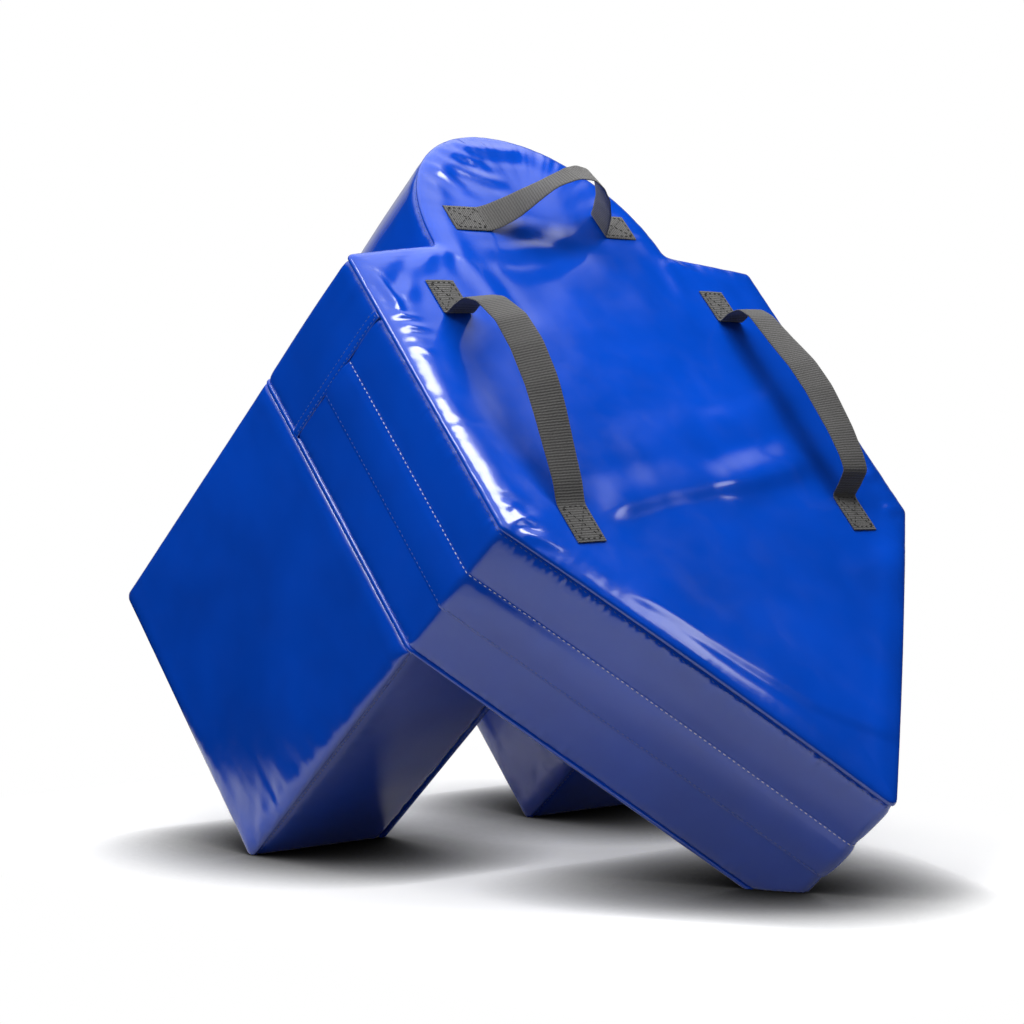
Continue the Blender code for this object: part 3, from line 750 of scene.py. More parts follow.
def sewing_thread(name, colour):
    """Twisted polyester thread."""
    finish = Finish(name)
    twist = finish.noise(finish.place(), 1400.0, 2.0)
    shade = tuple(c * 0.7 for c in colour)
    finish.colour(finish.between(twist, 0.35, 0.65, 0.0, 1.0), shade, colour)
    finish.normal(finish.bump(twist, 0.0002, 0.6))
    finish.values({"Roughness": 0.55})
    finish.material.diffuse_color = (*colour, 1.0)
    return finish.material


def foam_finish():
    """Open-cell foam: off-white and full of fine pores, with painted shade darkening each pore."""
    finish = Finish("foam")
    pores = finish.node("ShaderNodeTexVoronoi", Scale=420.0)
    finish.link(finish.place(), pores.inputs["Vector"])
    depth = finish.between(pores.outputs["Distance"], 0.0, 0.6, 0.0, 1.0)
    # Painted shade: the deeper into a pore, the darker its colour.
    finish.colour(depth, (0.52, 0.50, 0.42), (0.76, 0.74, 0.66))
    finish.normal(finish.bump(depth, 0.0008, 0.8))
    finish.values({"Roughness": 0.95})
    return finish.material


def zip_tape_finish():
    """Woven polyester tape."""
    finish = Finish("zip_tape")
    weave = finish.noise(finish.place(), 900.0, 2.0)
    finish.colour(weave, (0.006, 0.008, 0.020), (0.018, 0.022, 0.050))
    finish.normal(finish.bump(weave, 0.0003, 0.7))
    finish.values({"Roughness": 0.8})
    return finish.material


def zip_metal_finish():
    """Plated die-cast metal with fine scuffs."""
    finish = Finish("zip_metal")
    scuff = finish.noise(finish.place(), 500.0, 5.0, 0.7)
    finish.colour(scuff, (0.46, 0.46, 0.47), (0.62, 0.62, 0.63))
    finish.link(finish.between(scuff, 0.3, 0.7, 0.22, 0.45), finish.shader.inputs["Roughness"])
    finish.values({"Metallic": 1.0})
    return finish.material


FINISHES = {}


def finish_named(name):
    """Each finish is made once."""
    if name not in FINISHES:
        threads = settings().shield_thread
        makers = {
            "coated_fabric": coated_fabric,
            "reinforcing_fabric": lambda: coated_fabric("reinforcing_fabric", 0.6, 0.2),
            "webbing": webbing,
            "pale_thread": lambda: sewing_thread("pale_thread", tuple(threads.pale)),
            "blue_thread": lambda: sewing_thread("blue_thread", (0.06, 0.13, 0.46)),
            "dark_thread": lambda: sewing_thread("dark_thread", (0.012, 0.012, 0.012)),
            "foam": foam_finish,
            "zip_tape": zip_tape_finish,
            "zip_metal": zip_metal_finish,
        }
        FINISHES[name] = makers[name]()
    return FINISHES[name]


# The face and the back


# Creases: (their path, how wide, how high)
FACE_FOLDS = (
    ([(-0.182, -0.018), (-0.215, 0.010), (-0.255, 0.045), (-0.285, 0.078)], 0.010, 0.0030),
    ([(-0.178, -0.020), (-0.196, 0.020), (-0.205, 0.060), (-0.208, 0.105)], 0.008, 0.0022),
    ([(-0.170, -0.026), (-0.160, 0.010), (-0.150, 0.060), (-0.150, 0.120)], 0.014, 0.0016),
    ([(-0.318, 0.030), (-0.306, 0.050), (-0.300, 0.078), (-0.304, 0.104)], 0.006, 0.0020),
    ([(-0.322, 0.096), (-0.300, 0.098), (-0.272, 0.104)], 0.004, 0.0012),
    ([(-0.322, 0.118), (-0.298, 0.114), (-0.262, 0.122)], 0.005, 0.0011),
    ([(-0.322, 0.142), (-0.302, 0.146), (-0.280, 0.160)], 0.004, 0.0008),
    ([(-0.102, -0.190), (-0.070, -0.178), (-0.040, -0.167), (-0.026, -0.146)], 0.008, 0.0014),
    ([(-0.134, -0.164), (-0.108, -0.138), (-0.094, -0.112), (-0.074, -0.092)], 0.009, 0.0017),
    ([(-0.152, -0.138), (-0.136, -0.112), (-0.117, -0.083)], 0.007, 0.0013),
    ([(-0.104, -0.200), (-0.031, -0.192), (0.052, -0.190)], 0.009, 0.0012),
    ([(-0.106, -0.166), (-0.050, -0.139), (-0.010, -0.126)], 0.009, 0.0013),
    ([(-0.170, -0.084), (-0.150, -0.080), (-0.118, -0.062)], 0.007, 0.0010),
    ([(-0.178, -0.048), (-0.150, -0.046), (-0.120, -0.050)], 0.006, 0.0011),
    ([(-0.140, -0.018), (-0.080, -0.014), (-0.010, -0.020), (0.040, -0.040)], 0.012, 0.0013),
    ([(0.178, -0.020), (0.205, 0.008), (0.240, 0.030), (0.270, 0.045)], 0.010, 0.0022),
    ([(0.172, -0.024), (0.176, 0.020), (0.170, 0.070)], 0.012, 0.0014),
    ([(0.322, 0.330), (0.296, 0.345), (0.262, 0.352)], 0.007, 0.0013),
    ([(0.322, 0.402), (0.292, 0.398), (0.262, 0.410)], 0.007, 0.0015),
    ([(-0.322, 0.372), (-0.300, 0.376), (-0.280, 0.396)], 0.006, 0.0012),
    ([(-0.316, 0.398), (-0.296, 0.392), (-0.262, 0.402)], 0.007, 0.0014),
    ([(-0.322, 0.412), (-0.300, 0.414), (-0.270, 0.432), (-0.245, 0.444)], 0.006, 0.0016),
    ([(-0.300, 0.345), (-0.285, 0.362), (-0.268, 0.372)], 0.008, 0.0012),
)
# Long waves: (their path, how far each takes to rise and to fall, how high)
FACE_WAVES = (
    ([(-0.300, 0.425), (-0.177, 0.388), (-0.073, 0.366), (0.081, 0.352), (0.200, 0.330)],
     0.052, 0.024, 0.0034),
    ([(0.150, 0.240), (0.060, 0.262), (-0.030, 0.300), (-0.120, 0.310)], 0.090, 0.060, 0.0020),
    ([(-0.224, 0.480), (-0.157, 0.541), (-0.102, 0.598), (-0.040, 0.660), (0.040, 0.704),
      (0.085, 0.722)], 0.050, 0.017, 0.0020),
    ([(0.000, 0.372), (0.100, 0.345), (0.230, 0.314)], 0.050, 0.040, 0.0046),
    ([(0.300, 0.440), (0.220, 0.480), (0.120, 0.500)], 0.070, 0.040, 0.0034),
    ([(-0.150, -0.150), (-0.060, -0.190), (0.040, -0.196), (0.120, -0.160)], 0.050, 0.030, 0.0012),
    ([(-0.100, -0.044), (-0.030, -0.052), (0.040, -0.034), (0.090, -0.030)], 0.030, 0.022, 0.0018),
    ([(0.260, 0.200), (0.190, 0.236), (0.110, 0.262), (0.040, 0.270)], 0.040, 0.030, 0.0020),
)


# Rows lie closer together near the seam than at the middle by this power
ROWS_TO_MIDDLE = 1.35


def spine(v):
    """Where a line in from the outline at v meets the middle of a panel."""
    return -0.10 + (v - HEAD_TOP) * 0.62 / (TIP - HEAD_TOP)


def panel_flats(rows_in):
    """A panel's (u, v) places, in rows from its turned edge to its middle."""
    points = OUTLINE.points
    flats = [points - OUTLINE.outward * inset for inset in TURNED_IN]
    first = flats[-1]
    middle = np.stack([np.zeros(len(points)), spine(points[:, 1])], axis=1)
    for k in range(1, rows_in + 1):
        flats.append(first + (middle - first) * (k / rows_in) ** ROWS_TO_MIDDLE)
    return np.array(flats)


def seam_puckers(v, away, along, way):
    """How a panel puckers in from its seam. The head is drawn tighter, the taper below is calmer.

    Each kind has a wavelength along the seam, patches of its own and a reach in from it.
    """
    on_body = after(v, -0.02, 0.015)
    calm = 1 - 0.80 * after(v, 0.46, 0.02)
    gathers = ripple(along, 0.026, 1.0 + way) * (0.30 + patchy(along, 0.31, 2.0 + way))
    gathers = gathers * calm * (0.45 + 0.20 * on_body) * np.exp(-away / 0.016)
    fine = 0.36 * ripple(along, 0.0092, 4.0 + way) * np.exp(-away / 0.006)
    feather = ripple(along + 0.12 * away, 0.0150, 14.0 + way) * patchy(along, 0.12, 8.0 + way)
    feather = 0.34 * feather * calm * hump(away, 0.016, 0.022)
    slack = ripple(along, 0.061, 7.0 + way) * patchy(along, 0.43, 4.0 + way)
    slack = 0.6 * slack * on_body * calm * np.exp(-away / 0.040)
    drawn = ripple(along + 0.3 * away, 0.038, 9.0 + way) * (1 - on_body)
    drawn = 0.42 * drawn * hump(away, 0.020, 0.045)
    return settings().shield_cover.pucker * (gathers + fine + feather + slack + drawn)


def panel_points(rows_in, relief, plane, way):
    """A whole panel from its turned edge to its middle. way is -1 on the face and 1 on the back."""
    flats = panel_flats(rows_in)
    away, along = OUTLINE.nearest(flats.reshape(-1, 2))
    away = away.reshape(flats.shape[:2])
    along = along.reshape(flats.shape[:2])
    back = np.interp(away, ROLL_IN, ROLL_BACK)
    back[:len(TURNED_BACK)] = np.array(TURNED_BACK)[:, None]
    rolled = np.clip(1 - back / 0.0060, 0.0, 1)
    lift = seam_puckers(flats[..., 1], away, along, way) * rolled
    lift = lift + 0.0010 * hump(away, 0.026, 0.016)
    lift = lift + relief(flats[..., 0], flats[..., 1], back)
    u, v, n = swell(flats[..., 0], flats[..., 1], plane - way * back)
    return stood(u, v, n + way * lift), flats


def held_by_tabs(u, v):
    """How free the face is to stand up: nothing at the sewn tabs of the handles, 1 away from them."""
    free = np.ones(u.shape)
    for name, strap in STRAPS.items():
        for low in (strap["start"] - TAB_LENGTH, strap["end"]):
            along, across = (u, v) if name == "head" else (v, u)
            past_end = np.maximum(low - along, along - low - TAB_LENGTH)
            past_side = np.abs(across - strap["centre"]) - STRAP_WIDTH / 2
            away = np.hypot(np.clip(past_end, 0, None), np.clip(past_side, 0, None))
            free = np.minimum(free, eased(since(away, 0.003, 0.062)))
    return free


def lies_flat(back):
    """1 where a panel lies flat, and 0 where it is turned in to its seam."""
    return 1 - np.clip(back / FIRM_BACK, 0, 1)


def face_relief(u, v, back):
    """The face's waves and creases, strongest by its head and its left."""
    cover = settings().shield_cover
    flat = np.stack([u, v * 0.7, np.zeros_like(u)], axis=-1)
    upper = after(-v, -0.16, 0.07)
    left = after(-u, 0.05, 0.09)
    busy = 0.60 + 0.40 * np.maximum(upper, left * 0.8)
    waves = mottle(flat, 0.21, 1) + 0.90 * busy * mottle(flat, 0.095, 2)
    waves = cover.wave * (waves + 0.34 * busy * mottle(flat, 0.042, 3))
    for path, width, height in FACE_FOLDS:
        waves = waves + fold(u, v, path, width, height)
    for path, rise, fall, height in FACE_WAVES:
        waves = waves + ridge(u, v, path, rise, fall, height)
    return waves * lies_flat(back) * held_by_tabs(u, v)


def back_relief(u, v, back):
    """The back's slow waves."""
    flat = np.stack([u, v, np.full_like(u, 2.0)], axis=-1)
    waves = 0.8 * mottle(flat, 0.2, 5) + 0.35 * mottle(flat, 0.08, 6)
    return settings().shield_cover.wave * waves * lies_flat(back)


def close_middle(work):
    """Join the two halves of a panel where they meet down its middle."""
    middle = [vertex for vertex in work.verts if abs(vertex.co.x) < 0.00002]
    bmesh.ops.remove_doubles(work, verts=middle, dist=0.00012)


def make_panel(name, node, plane, way, relief, rows_in, windows=False):
    """The face or the back, as one sheet."""
    places, flats = panel_points(rows_in, relief, plane, way)
    mesh = reshape(grid_mesh(name, places, flats, closed=True), close_middle)
    if windows:
        reshape(mesh, open_windows)
    add_cover(name, tidy(mesh, TORSO_MIDDLE), node)


def open_windows(work):
    """Open the back where the legs go through it."""
    layer = work.loops.layers.uv.active
    margin = WINDOW_MARGIN
    gone = []
    for face in work.faces:
        centre = sum((loop[layer].uv for loop in face.loops), Vector((0, 0))) / len(face.loops)
        across = LEG_INNER + margin < abs(centre.x) < PANEL_WIDTH / 2 - margin
        if across and margin < centre.y < TORSO_LENGTH - margin:
            gone.append(face)
    bmesh.ops.delete(work, geom=gone, context="FACES")


class SHIELD_OT_panels(Operator):
    """Make the face and the back, turned in to their seams and creased at the neck"""

    bl_idname = "tackle_shield.panels"
    bl_label = "Face and Back"

    def execute(self, context):
        make_panel("face_skin", "face_panel", 0.0, -1, face_relief, 62)
        make_panel("back_skin", "back_panel", PANEL_DEPTH, 1, back_relief, 40, windows=True)
        return {"FINISHED"}


# The strips round the sides


def add_strip(name, node, s, n, lift):
    """A strip of the cover: columns at distances s round the outline, rows at depths n, and lifts."""
    u, v = lifted(*OUTLINE.at(s), lift)
    places = stood(*swell(u, v, np.broadcast_to(n[:, None], u.shape)))
    add_cover(name, tidy(grid_mesh(name, places, gridded(s, n)), TORSO_MIDDLE), node)


def depths(low, high):
    """Even depths for a strip's rows."""
    count = max(2, int(round((high - low) / STRIP_ROW)))
    return np.linspace(low, high, count + 1)


def turned_in(n, s, face_side, back_side):
    """How far out a strip lies near its two panel seams, with their puckers."""
    pucker = settings().shield_cover.pucker
    out = np.zeros((len(n), len(s)))
    seams = ((0.0, 1, 1.0, face_side, 0.0), (PANEL_DEPTH, -1, 0.5, back_side, 2.0))
    for at, way, roll, wanted, seed in seams:
        if not wanted:
            continue
        away = (n - at) * way
        level = np.exp(-np.clip(away - STRIP_DEPTHS[-1], 0, None) / 0.01)
        edge = roll * np.interp(away, STRIP_DEPTHS, STRIP_RISES) * level
        past = np.clip(away - SEAM_PAST, 0, None)[:, None]
        begun = since(away, SEAM_MOUTH, SEAM_BEGINS)[:, None]
        slow = ripple(s, 0.023, 3.0 + seed) * (0.40 + patchy(s, 0.27, 1.0 + seed))
        quick = ripple(s, 0.0085, 5.0 + seed) * (0.50 + 0.5 * patchy(s, 0.19, 6.0 + seed))
        puckers = 0.8 * slow * np.exp(-past / 0.013) + 0.85 * quick * hump(past, 0.003, 0.0075)
        out = out + edge[:, None] + pucker * begun * puckers
    return out


def strip_waves(n, s, seed):
    """A strip's own slow waves."""
    flat = gridded(s, n * 1.3, seed * 1.7)
    waves = 0.42 * mottle(flat, 0.16, seed) + 0.20 * mottle(flat, 0.055, seed + 1)
    return settings().shield_cover.wave * waves


def bulge(n, low, high):
    """How a strip's rows arch between two seams."""
    return arch(n, low, high)[:, None]


def edge_depths(low_turned, high_turned, low, high, extra=()):
    """Depths for a strip's rows, close together where it turns in and at given places."""
    values = list(depths(low, high))
    plain = STRIP_DEPTHS[-1] + 0.001
    if low_turned:
        values = [v for v in values if v > plain] + list(STRIP_DEPTHS)
    if high_turned:
        values = [v for v in values if v < PANEL_DEPTH - plain]
        values += [PANEL_DEPTH - depth for depth in STRIP_DEPTHS]
    return np.array(sorted(set(round(v, 6) for v in [*values, *extra])))


def hem_run(overlap):
    """Where the outline passes the left and the right hem's line, less an overlap."""
    return [OUTLINE.where(HEM_BOTTOM - overlap, side) for side in (-1, 1)]


def lower_run(overlap, step=STRIP_COLUMN):
    """Columns for a strip from the left hem down round the tip to the right hem."""
    start, right = hem_run(overlap)
    end = right - OUTLINE.length
    return np.linspace(start, end, int((start - end) / step) + 1)


def flap_seam_puckers(n, s):
    """The puckers on both sides of the flap's seam."""
    along = ripple(s, 0.017, 6.0) * (0.3 + patchy(s, 0.22, 5.0))
    near = np.exp(-np.abs(n - FLAP_SEAM) / 0.009)[:, None]
    return settings().shield_cover.pucker * 0.45 * along[None, :] * near


def front_lift(n, s):
    """The front strip's outer side, drawn in along the flap's seam."""
    lift = turned_in(n, s, True, False) + 0.0009 * bulge(n, 0.008, FLAP_SEAM)
    lift = lift + strip_waves(n, s, 11) + flap_seam_puckers(n, s)
    drawn = hump(n, FLAP_SEAM, 0.009)[:, None]
    return lift * (1 - drawn) - 0.0002 * drawn


def make_front_strip():
    """The strip next to the face, with rows close together at the flap's seam."""
    s = lower_run(HEM_LAP)
    close = (FLAP_SEAM - 0.002, FLAP_SEAM - 0.0006)
    n = edge_depths(True, False, STRIP_DEPTHS[0], FLAP_SEAM + 0.001, close)
    add_strip("front_strip_skin", "front_side_strip", s, n, front_lift(n, s))


def flap_lift(n, s):
    """The flap's outer side: sewn down along its front, arched over the zip, its edge free."""
    arched = COVER_THICKNESS + SEAM_GAP + FLAP_ARCH * bulge(n, FLAP_SEAM, FLAP_EDGE)
    risen = eased(since(n, FLAP_SEAM, 0.0110))[:, None]
    tucked = 0.0010 * np.clip((FLAP_SEAM + 0.0012 - n) / 0.0012, 0, 1)[:, None]
    free = np.exp(-(FLAP_EDGE - n) / 0.012)[:, None]
    wander = 0.0004 * ripple(s, 0.19, 8.0)[None, :] * free
    folded = 0.0009 * since(n, FLAP_EDGE - 0.0012, 0.0012)[:, None] ** 2
    lift = arched + 0.5 * strip_waves(n, s, 14) + flap_seam_puckers(n, s)
    return lift * risen + wander - folded - tucked


def make_flap():
    """The flap, with rows close together at its seam and at its free edge."""
    s = lower_run(-FLAP_SHORT)
    close = [FLAP_SEAM + more for more in (0.0, 0.0006, 0.0012, 0.0032)]
    free = [FLAP_EDGE - less for less in (0.0024, 0.0012, 0.0005, 0.0)]
    n = np.array(sorted([*close, *depths(FLAP_SEAM + 0.005, FLAP_EDGE - 0.005), *free]))
    add_strip("flap_skin", "zip_flap", s, n, flap_lift(n, s))


def make_rear_strip():
    """The strip next to the back, kept low where the flap lies over it."""
    s = lower_run(HEM_LAP)
    n = edge_depths(False, True, REAR_STRIP_START, PANEL_DEPTH - STRIP_DEPTHS[0])
    lift = turned_in(n, s, False, True) + 0.0006 * bulge(n, FLAP_EDGE, PANEL_DEPTH)
    lift = lift + 0.8 * strip_waves(n, s, 17)
    lift = np.minimum(lift, 0.0001 + 0.002 * since(n, FLAP_EDGE, 0.006)[:, None])
    add_strip("rear_strip_skin", "rear_side_strip", s, n, lift)


def hood_lift(n, s):
    """The hood's strip: puckered at its seams, gathered round the head, with a doubled hem."""
    point = OUTLINE.at(s)[0]
    v = point[:, 1]
    at_hem = np.abs(point[:, 0]) > SIDE_OUT
    lift = turned_in(n, s, True, True) + 0.0010 * bulge(n, 0.008, PANEL_DEPTH - 0.008)
    lift = lift + strip_waves(n, s, 21)
    gathers = 0.0011 * ripple(s, 0.052, 9.0) * after(-v, 0.045, 0.008)
    lift = lift + gathers[None, :] * np.exp(-(n - SEAM_PAST) / 0.050)[:, None]
    pull = settings().shield_cover.pucker * 1.5 * hump(v, 0.035, 0.030) * ripple(s, 0.030, 12.0)
    lift = lift + pull[None, :] * np.exp(-(n - SEAM_PAST) / 0.060)[:, None]
    hem = since(v, HEM_BOTTOM - HEM_WIDTH, 0.0050) * at_hem
    end = np.where(at_hem, np.clip((HEM_BOTTOM - v) / 0.0016, 0, 1), 1.0)
    sewn = hump(v, HEM_BOTTOM - 0.0030, 0.0010) + hump(v, HEM_BOTTOM - HEM_WIDTH + 0.0016, 0.0010)
    doubled = 0.0017 * eased(hem) * (0.45 + 0.55 * end) - 0.0004 * sewn * at_hem
    return lift * (1 - 0.7 * hem)[None, :] + doubled[None, :]


def make_hood():
    """The strip over the shoulders and the head, with columns close together at its hems."""
    left, right = hem_run(0.0)
    close = np.array((
        0.0, 0.0008, 0.0018, 0.0030, 0.0042, 0.0056, 0.0080, 0.0100, 0.0116, 0.0124, 0.0134, 0.0150,
    ))
    middle = np.linspace(left + 0.018, right - 0.018, int((right - left - 0.036) / STRIP_ROW))
    s = np.concatenate([left + close, middle, (right - close)[::-1]])
    n = edge_depths(True, True, STRIP_DEPTHS[0], PANEL_DEPTH - STRIP_DEPTHS[0])
    add_strip("hood_skin", "hood_gusset", s, n, hood_lift(n, s))


class SHIELD_OT_strips(Operator):
    """Make the strips round the sides: the hood with its hem, the zip's flap and the strips by it"""

    bl_idname = "tackle_shield.strips"
    bl_label = "Side Strips"

    def execute(self, context):
        make_front_strip()
        make_rear_strip()
        make_flap()
        make_hood()
        return {"FINISHED"}


# The legs


def turned_axis(low, high, step):
    """Places along one side of a leg's panel, with how far back its turned edges lie there."""
    edge = [*zip(TURNED_IN, TURNED_BACK), *zip(ROLL_IN[1:-1], ROLL_BACK[1:-1])]
    start = low + edge[-1][0]
    end = high - edge[-1][0]
    count = int((end - start) / step)
    places = [(low + inset, back) for inset, back in edge]
    places += [(start + (end - start) * k / count, 0.0) for k in range(1, count)]
    places += [(high - inset, back) for inset, back in reversed(edge)]
    return np.array(places)


def off_corner(from_one, from_other):
    """Distances from a corner's two edges, moved so that the corner is round."""
    one = np.clip(LEG_CORNER - from_one, 0, None)
    other = np.clip(LEG_CORNER - from_other, 0, None)
    reach = np.maximum(np.hypot(one, other), 1e-9)
    cut = np.where((one > 0) & (other > 0), 1 - np.maximum(one, other) / reach, 0.0)
    return from_one + one * cut, from_other + other * cut


def leg_middle(side):
    """A point inside a leg, which its cover faces away from."""
    return stood(side * (PANEL_WIDTH / 2 - LEG_WIDTH / 2), 0.2, 0.42).tolist()


def leg_side_lift(v, n, flat, seed):
    """A leg's side panel: slow waves, ripples in from its four seams, and slack at its low corner."""
    cover = settings().shield_cover
    waves = 0.45 * mottle(flat, 0.20, seed) + 0.30 * mottle(flat, 0.075, seed + 1)
    lift = cover.wave * (waves + 0.10 * mottle(flat, 0.03, seed + 2))
    to_bottom = TORSO_LENGTH - v
    to_end = LEG_END - n
    from_back = n - PANEL_DEPTH
    feather = 0.35 + patchy(n, 0.16, seed)
    # (place along the seam, distance from it, wavelength, seed, how far in, how high)
    ripples = (
        (n, to_bottom, 0.019, 0, 0.030, 0.85 * feather),
        (n, to_bottom, 0.010, 7, 0.016, 0.45 * feather),
        (n * 0.8 + v * 0.25, to_bottom, 0.043, 2, 0.055, 0.9),
        (v, to_end, 0.028, 1, 0.022, 0.45),
        (v, from_back, 0.033, 5, 0.018, 0.55),
        (n, v, 0.030, 4, 0.020, 0.5),
    )
    for place, away, wavelength, more, reach, height in ripples:
        wave = ripple(place, wavelength, seed + more) * np.exp(-away / reach)
        lift = lift + cover.pucker * height * wave
    for away in (v, to_bottom, from_back, to_end):
        lift = lift + 0.0009 * hump(away, 0.013, 0.010)
    slack = hump(v, TORSO_LENGTH, 0.09) * hump(n, LEG_END, 0.10)
    return lift + 0.0011 * slack * ripple(n - v, 0.040, seed + 3)


def make_leg_side(name, node, side, outer):
    """A leg's side panel, turned in on all four sides."""
    plane = side * (PANEL_WIDTH / 2 if outer else LEG_INNER)
    way = side if outer else -side
    down = turned_axis(0.0, TORSO_LENGTH, LEG_ROW)
    inward = turned_axis(PANEL_DEPTH - 0.0004, LEG_END, LEG_COLUMN)
    v, n = np.meshgrid(down[:, 0], inward[:, 0], indexing="ij")
    back = (down[:, 1][:, None] ** 3 + inward[:, 1][None, :] ** 3) ** (1 / 3)
    back = np.minimum(back, TURNED_BACK[0])
    flat = np.stack([v, n, np.full_like(v, plane * 9)], axis=-1)
    lift = leg_side_lift(v, n, flat, 31 + 7 * side + 3 * outer) * lies_flat(back) - back
    end, top = off_corner(LEG_END - n, v)
    end, bottom = off_corner(end, TORSO_LENGTH - top)
    u, v, n = swell(np.full_like(v, plane), TORSO_LENGTH - bottom, LEG_END - end)
    places = stood(u + way * lift, v, n)
    add_cover(name, tidy(grid_mesh(name, places, flat[..., :2]), leg_middle(side)), node)


def wrap_lift(s, across, flat, seed):
    """A leg's wrap: its edges turned in, its puckers and waves, and its two ends tucked."""
    cover = settings().shield_cover
    away = np.minimum(across, LEG_WIDTH - across)
    begun = since(away, SEAM_MOUTH, SEAM_BEGINS)
    past = np.clip(away - SEAM_PAST, 0, None)
    slow = ripple(s, 0.024, seed) * (0.3 + patchy(s, 0.26, seed))
    quick = 0.35 * ripple(s, 0.0095, seed + 3)
    puckers = np.exp(-past / 0.018)[:, None] * slow + np.exp(-past / 0.006)[:, None] * quick
    waves = 0.95 * mottle(flat, 0.13, seed) + 0.35 * mottle(flat, 0.05, seed + 1)
    lift = np.interp(away, STRIP_DEPTHS, STRIP_RISES)[:, None]
    lift = lift + cover.pucker * begun[:, None] * puckers
    lift = lift + cover.wave * since(away, SEAM_PAST, 0.02)[:, None] * waves
    tucked = np.clip(1 - s / 0.006, 0, 1) + np.clip(1 - (s[-1] - s) / 0.006, 0, 1)
    return lift - 0.0022 * (tucked ** 2)[None, :]


def make_leg_wrap(name, node, side):
    """The strip that wraps a leg's top, end and bottom."""
    start = PANEL_DEPTH + 0.0010
    corners = [
        (0.0, start, 0), (0.0, LEG_END, WRAP_CORNER), (TORSO_LENGTH, LEG_END, WRAP_CORNER),
        (TORSO_LENGTH, start, 0),
    ]
    path = rounded(corners, WRAP_COLUMN, closed=False)
    outward = left_of(path)
    if outward[0, 0] > 0:
        outward = -outward
    s = lengths_along(path)
    plain = STRIP_DEPTHS[-1] + 0.005
    inner = np.linspace(plain, LEG_WIDTH - plain, 32)
    turned = np.array(STRIP_DEPTHS)
    across = np.concatenate([turned, inner, LEG_WIDTH - turned[::-1]])
    lift = wrap_lift(s, across, gridded(s, across, side * 5.0), 51 + 5 * side)
    u = side * (LEG_INNER + across[:, None]) + np.zeros_like(lift)
    mesh = grid_mesh(name, stood(*swell(u, *lifted(path, outward, lift))), gridded(s, across))
    add_cover(name, tidy(mesh, leg_middle(side)), node)


class SHIELD_OT_legs(Operator):
    """Make the covers of the two legs, with the ripples along their seams"""

    bl_idname = "tackle_shield.legs"
    bl_label = "Leg Covers"

    def execute(self, context):
        for name, side in (("left", -1), ("right", 1)):
            make_leg_side(f"{name}_leg_outer_skin", f"{name}_leg_outer_panel", side, True)
            make_leg_side(f"{name}_leg_inner_skin", f"{name}_leg_inner_panel", side, False)
            make_leg_wrap(f"{name}_leg_wrap_skin", f"{name}_leg_wrap", side)
        return {"FINISHED"}


# The foam


# How far the blocks' edges are eased, how round their corners are, and how far off the floor they stay
FOAM_EASE = 0.004
FOAM_CORNER = 0.010
FOAM_OFF_FLOOR = 0.002
# How far inside the cover the foam stays, and how far apart its outline's points are
FOAM_INSET = 0.007
FOAM_STEP = 0.03


def foam_block(name, node, outline, low, high):
    """A foam block cut from a sheet: an outline of (u, v) points with its edges eased."""
    points = np.array(outline)
    outward = outward_of(points)
    centre = points.mean(axis=0)
    depth = high - low
    # One edge from the block's face to halfway down its side: (how far in, how far down)
    edge = ((FOAM_EASE * 2, 0.0), (FOAM_EASE, 0.0), (0.0012, 0.0012), (0.0, FOAM_EASE))
    rows = [(centre + (points - centre) * share, low) for share in (0.30, 0.65)]
    rows += [(points - outward * inset, low + down) for inset, down in edge]
    rows += [(points, low + depth * k / 6) for k in range(1, 6)]
    rows += [(points - outward * inset, high - down) for inset, down in reversed(edge)]
    rows += [(centre + (points - centre) * share, high) for share in (0.65, 0.30)]
    places = [stood(*swell(row[:, 0], row[:, 1], np.full(len(row), n))) for row, n in rows]
    places = np.array(places)
    places[..., 2] = np.maximum(places[..., 2], FOAM_OFF_FLOOR)
    mesh = grid_mesh(name, places, np.array([row for row, n in rows]), closed=True)
    close_ends(mesh)
    add_piece(name, mesh, finish_named("foam"), "shield", [node])


class SHIELD_OT_foam(Operator):
    """Make the foam blocks inside the cover"""

    bl_idname = "tackle_shield.foam"
    bl_label = "Foam"

    def execute(self, context):
        ease = FOAM_INSET
        side = PANEL_WIDTH / 2 - ease
        neck = NECK_WIDTH / 2 - ease
        low = 0.008
        high = PANEL_DEPTH - ease
        hip = TORSO_LENGTH - ease
        neck_line = -NECK_RISE + ease
        torso = [
            (0, TIP - ease * 1.3, CORNER), (-side, TORSO_LENGTH, CORNER),
            (-side, ease, FOAM_CORNER), (-neck, neck_line, 0), (neck, neck_line, 0),
            (side, ease, FOAM_CORNER), (side, TORSO_LENGTH, CORNER),
        ]
        foam_block("torso_foam_block", "torso_foam", rounded(torso, FOAM_STEP), low, high)
        head = [(neck, neck_line - 0.001, 0)]
        for k in range(1, 16):
            angle = math.pi * k / 16
            rise = NECK_RISE + (HEAD_RISE - ease) * math.sin(angle)
            head.append((neck * math.cos(angle), -rise, 0))
        head.append((-neck, neck_line - 0.001, 0))
        foam_block("head_foam_block", "head_foam", rounded(head, FOAM_STEP), low, high)
        for name, way in (("left", -1), ("right", 1)):
            a, b = sorted((way * (LEG_INNER + ease), way * (PANEL_WIDTH / 2 - ease)))
            corners = [(x, y, FOAM_CORNER) for x, y in ((a, ease), (b, ease), (b, hip), (a, hip))]
            leg = rounded(corners, FOAM_STEP)
            foam_block(f"{name}_leg_foam_block", f"{name}_leg_foam", leg, high + 0.002, LEG_END - ease)
        return {"FINISHED"}


# The zip


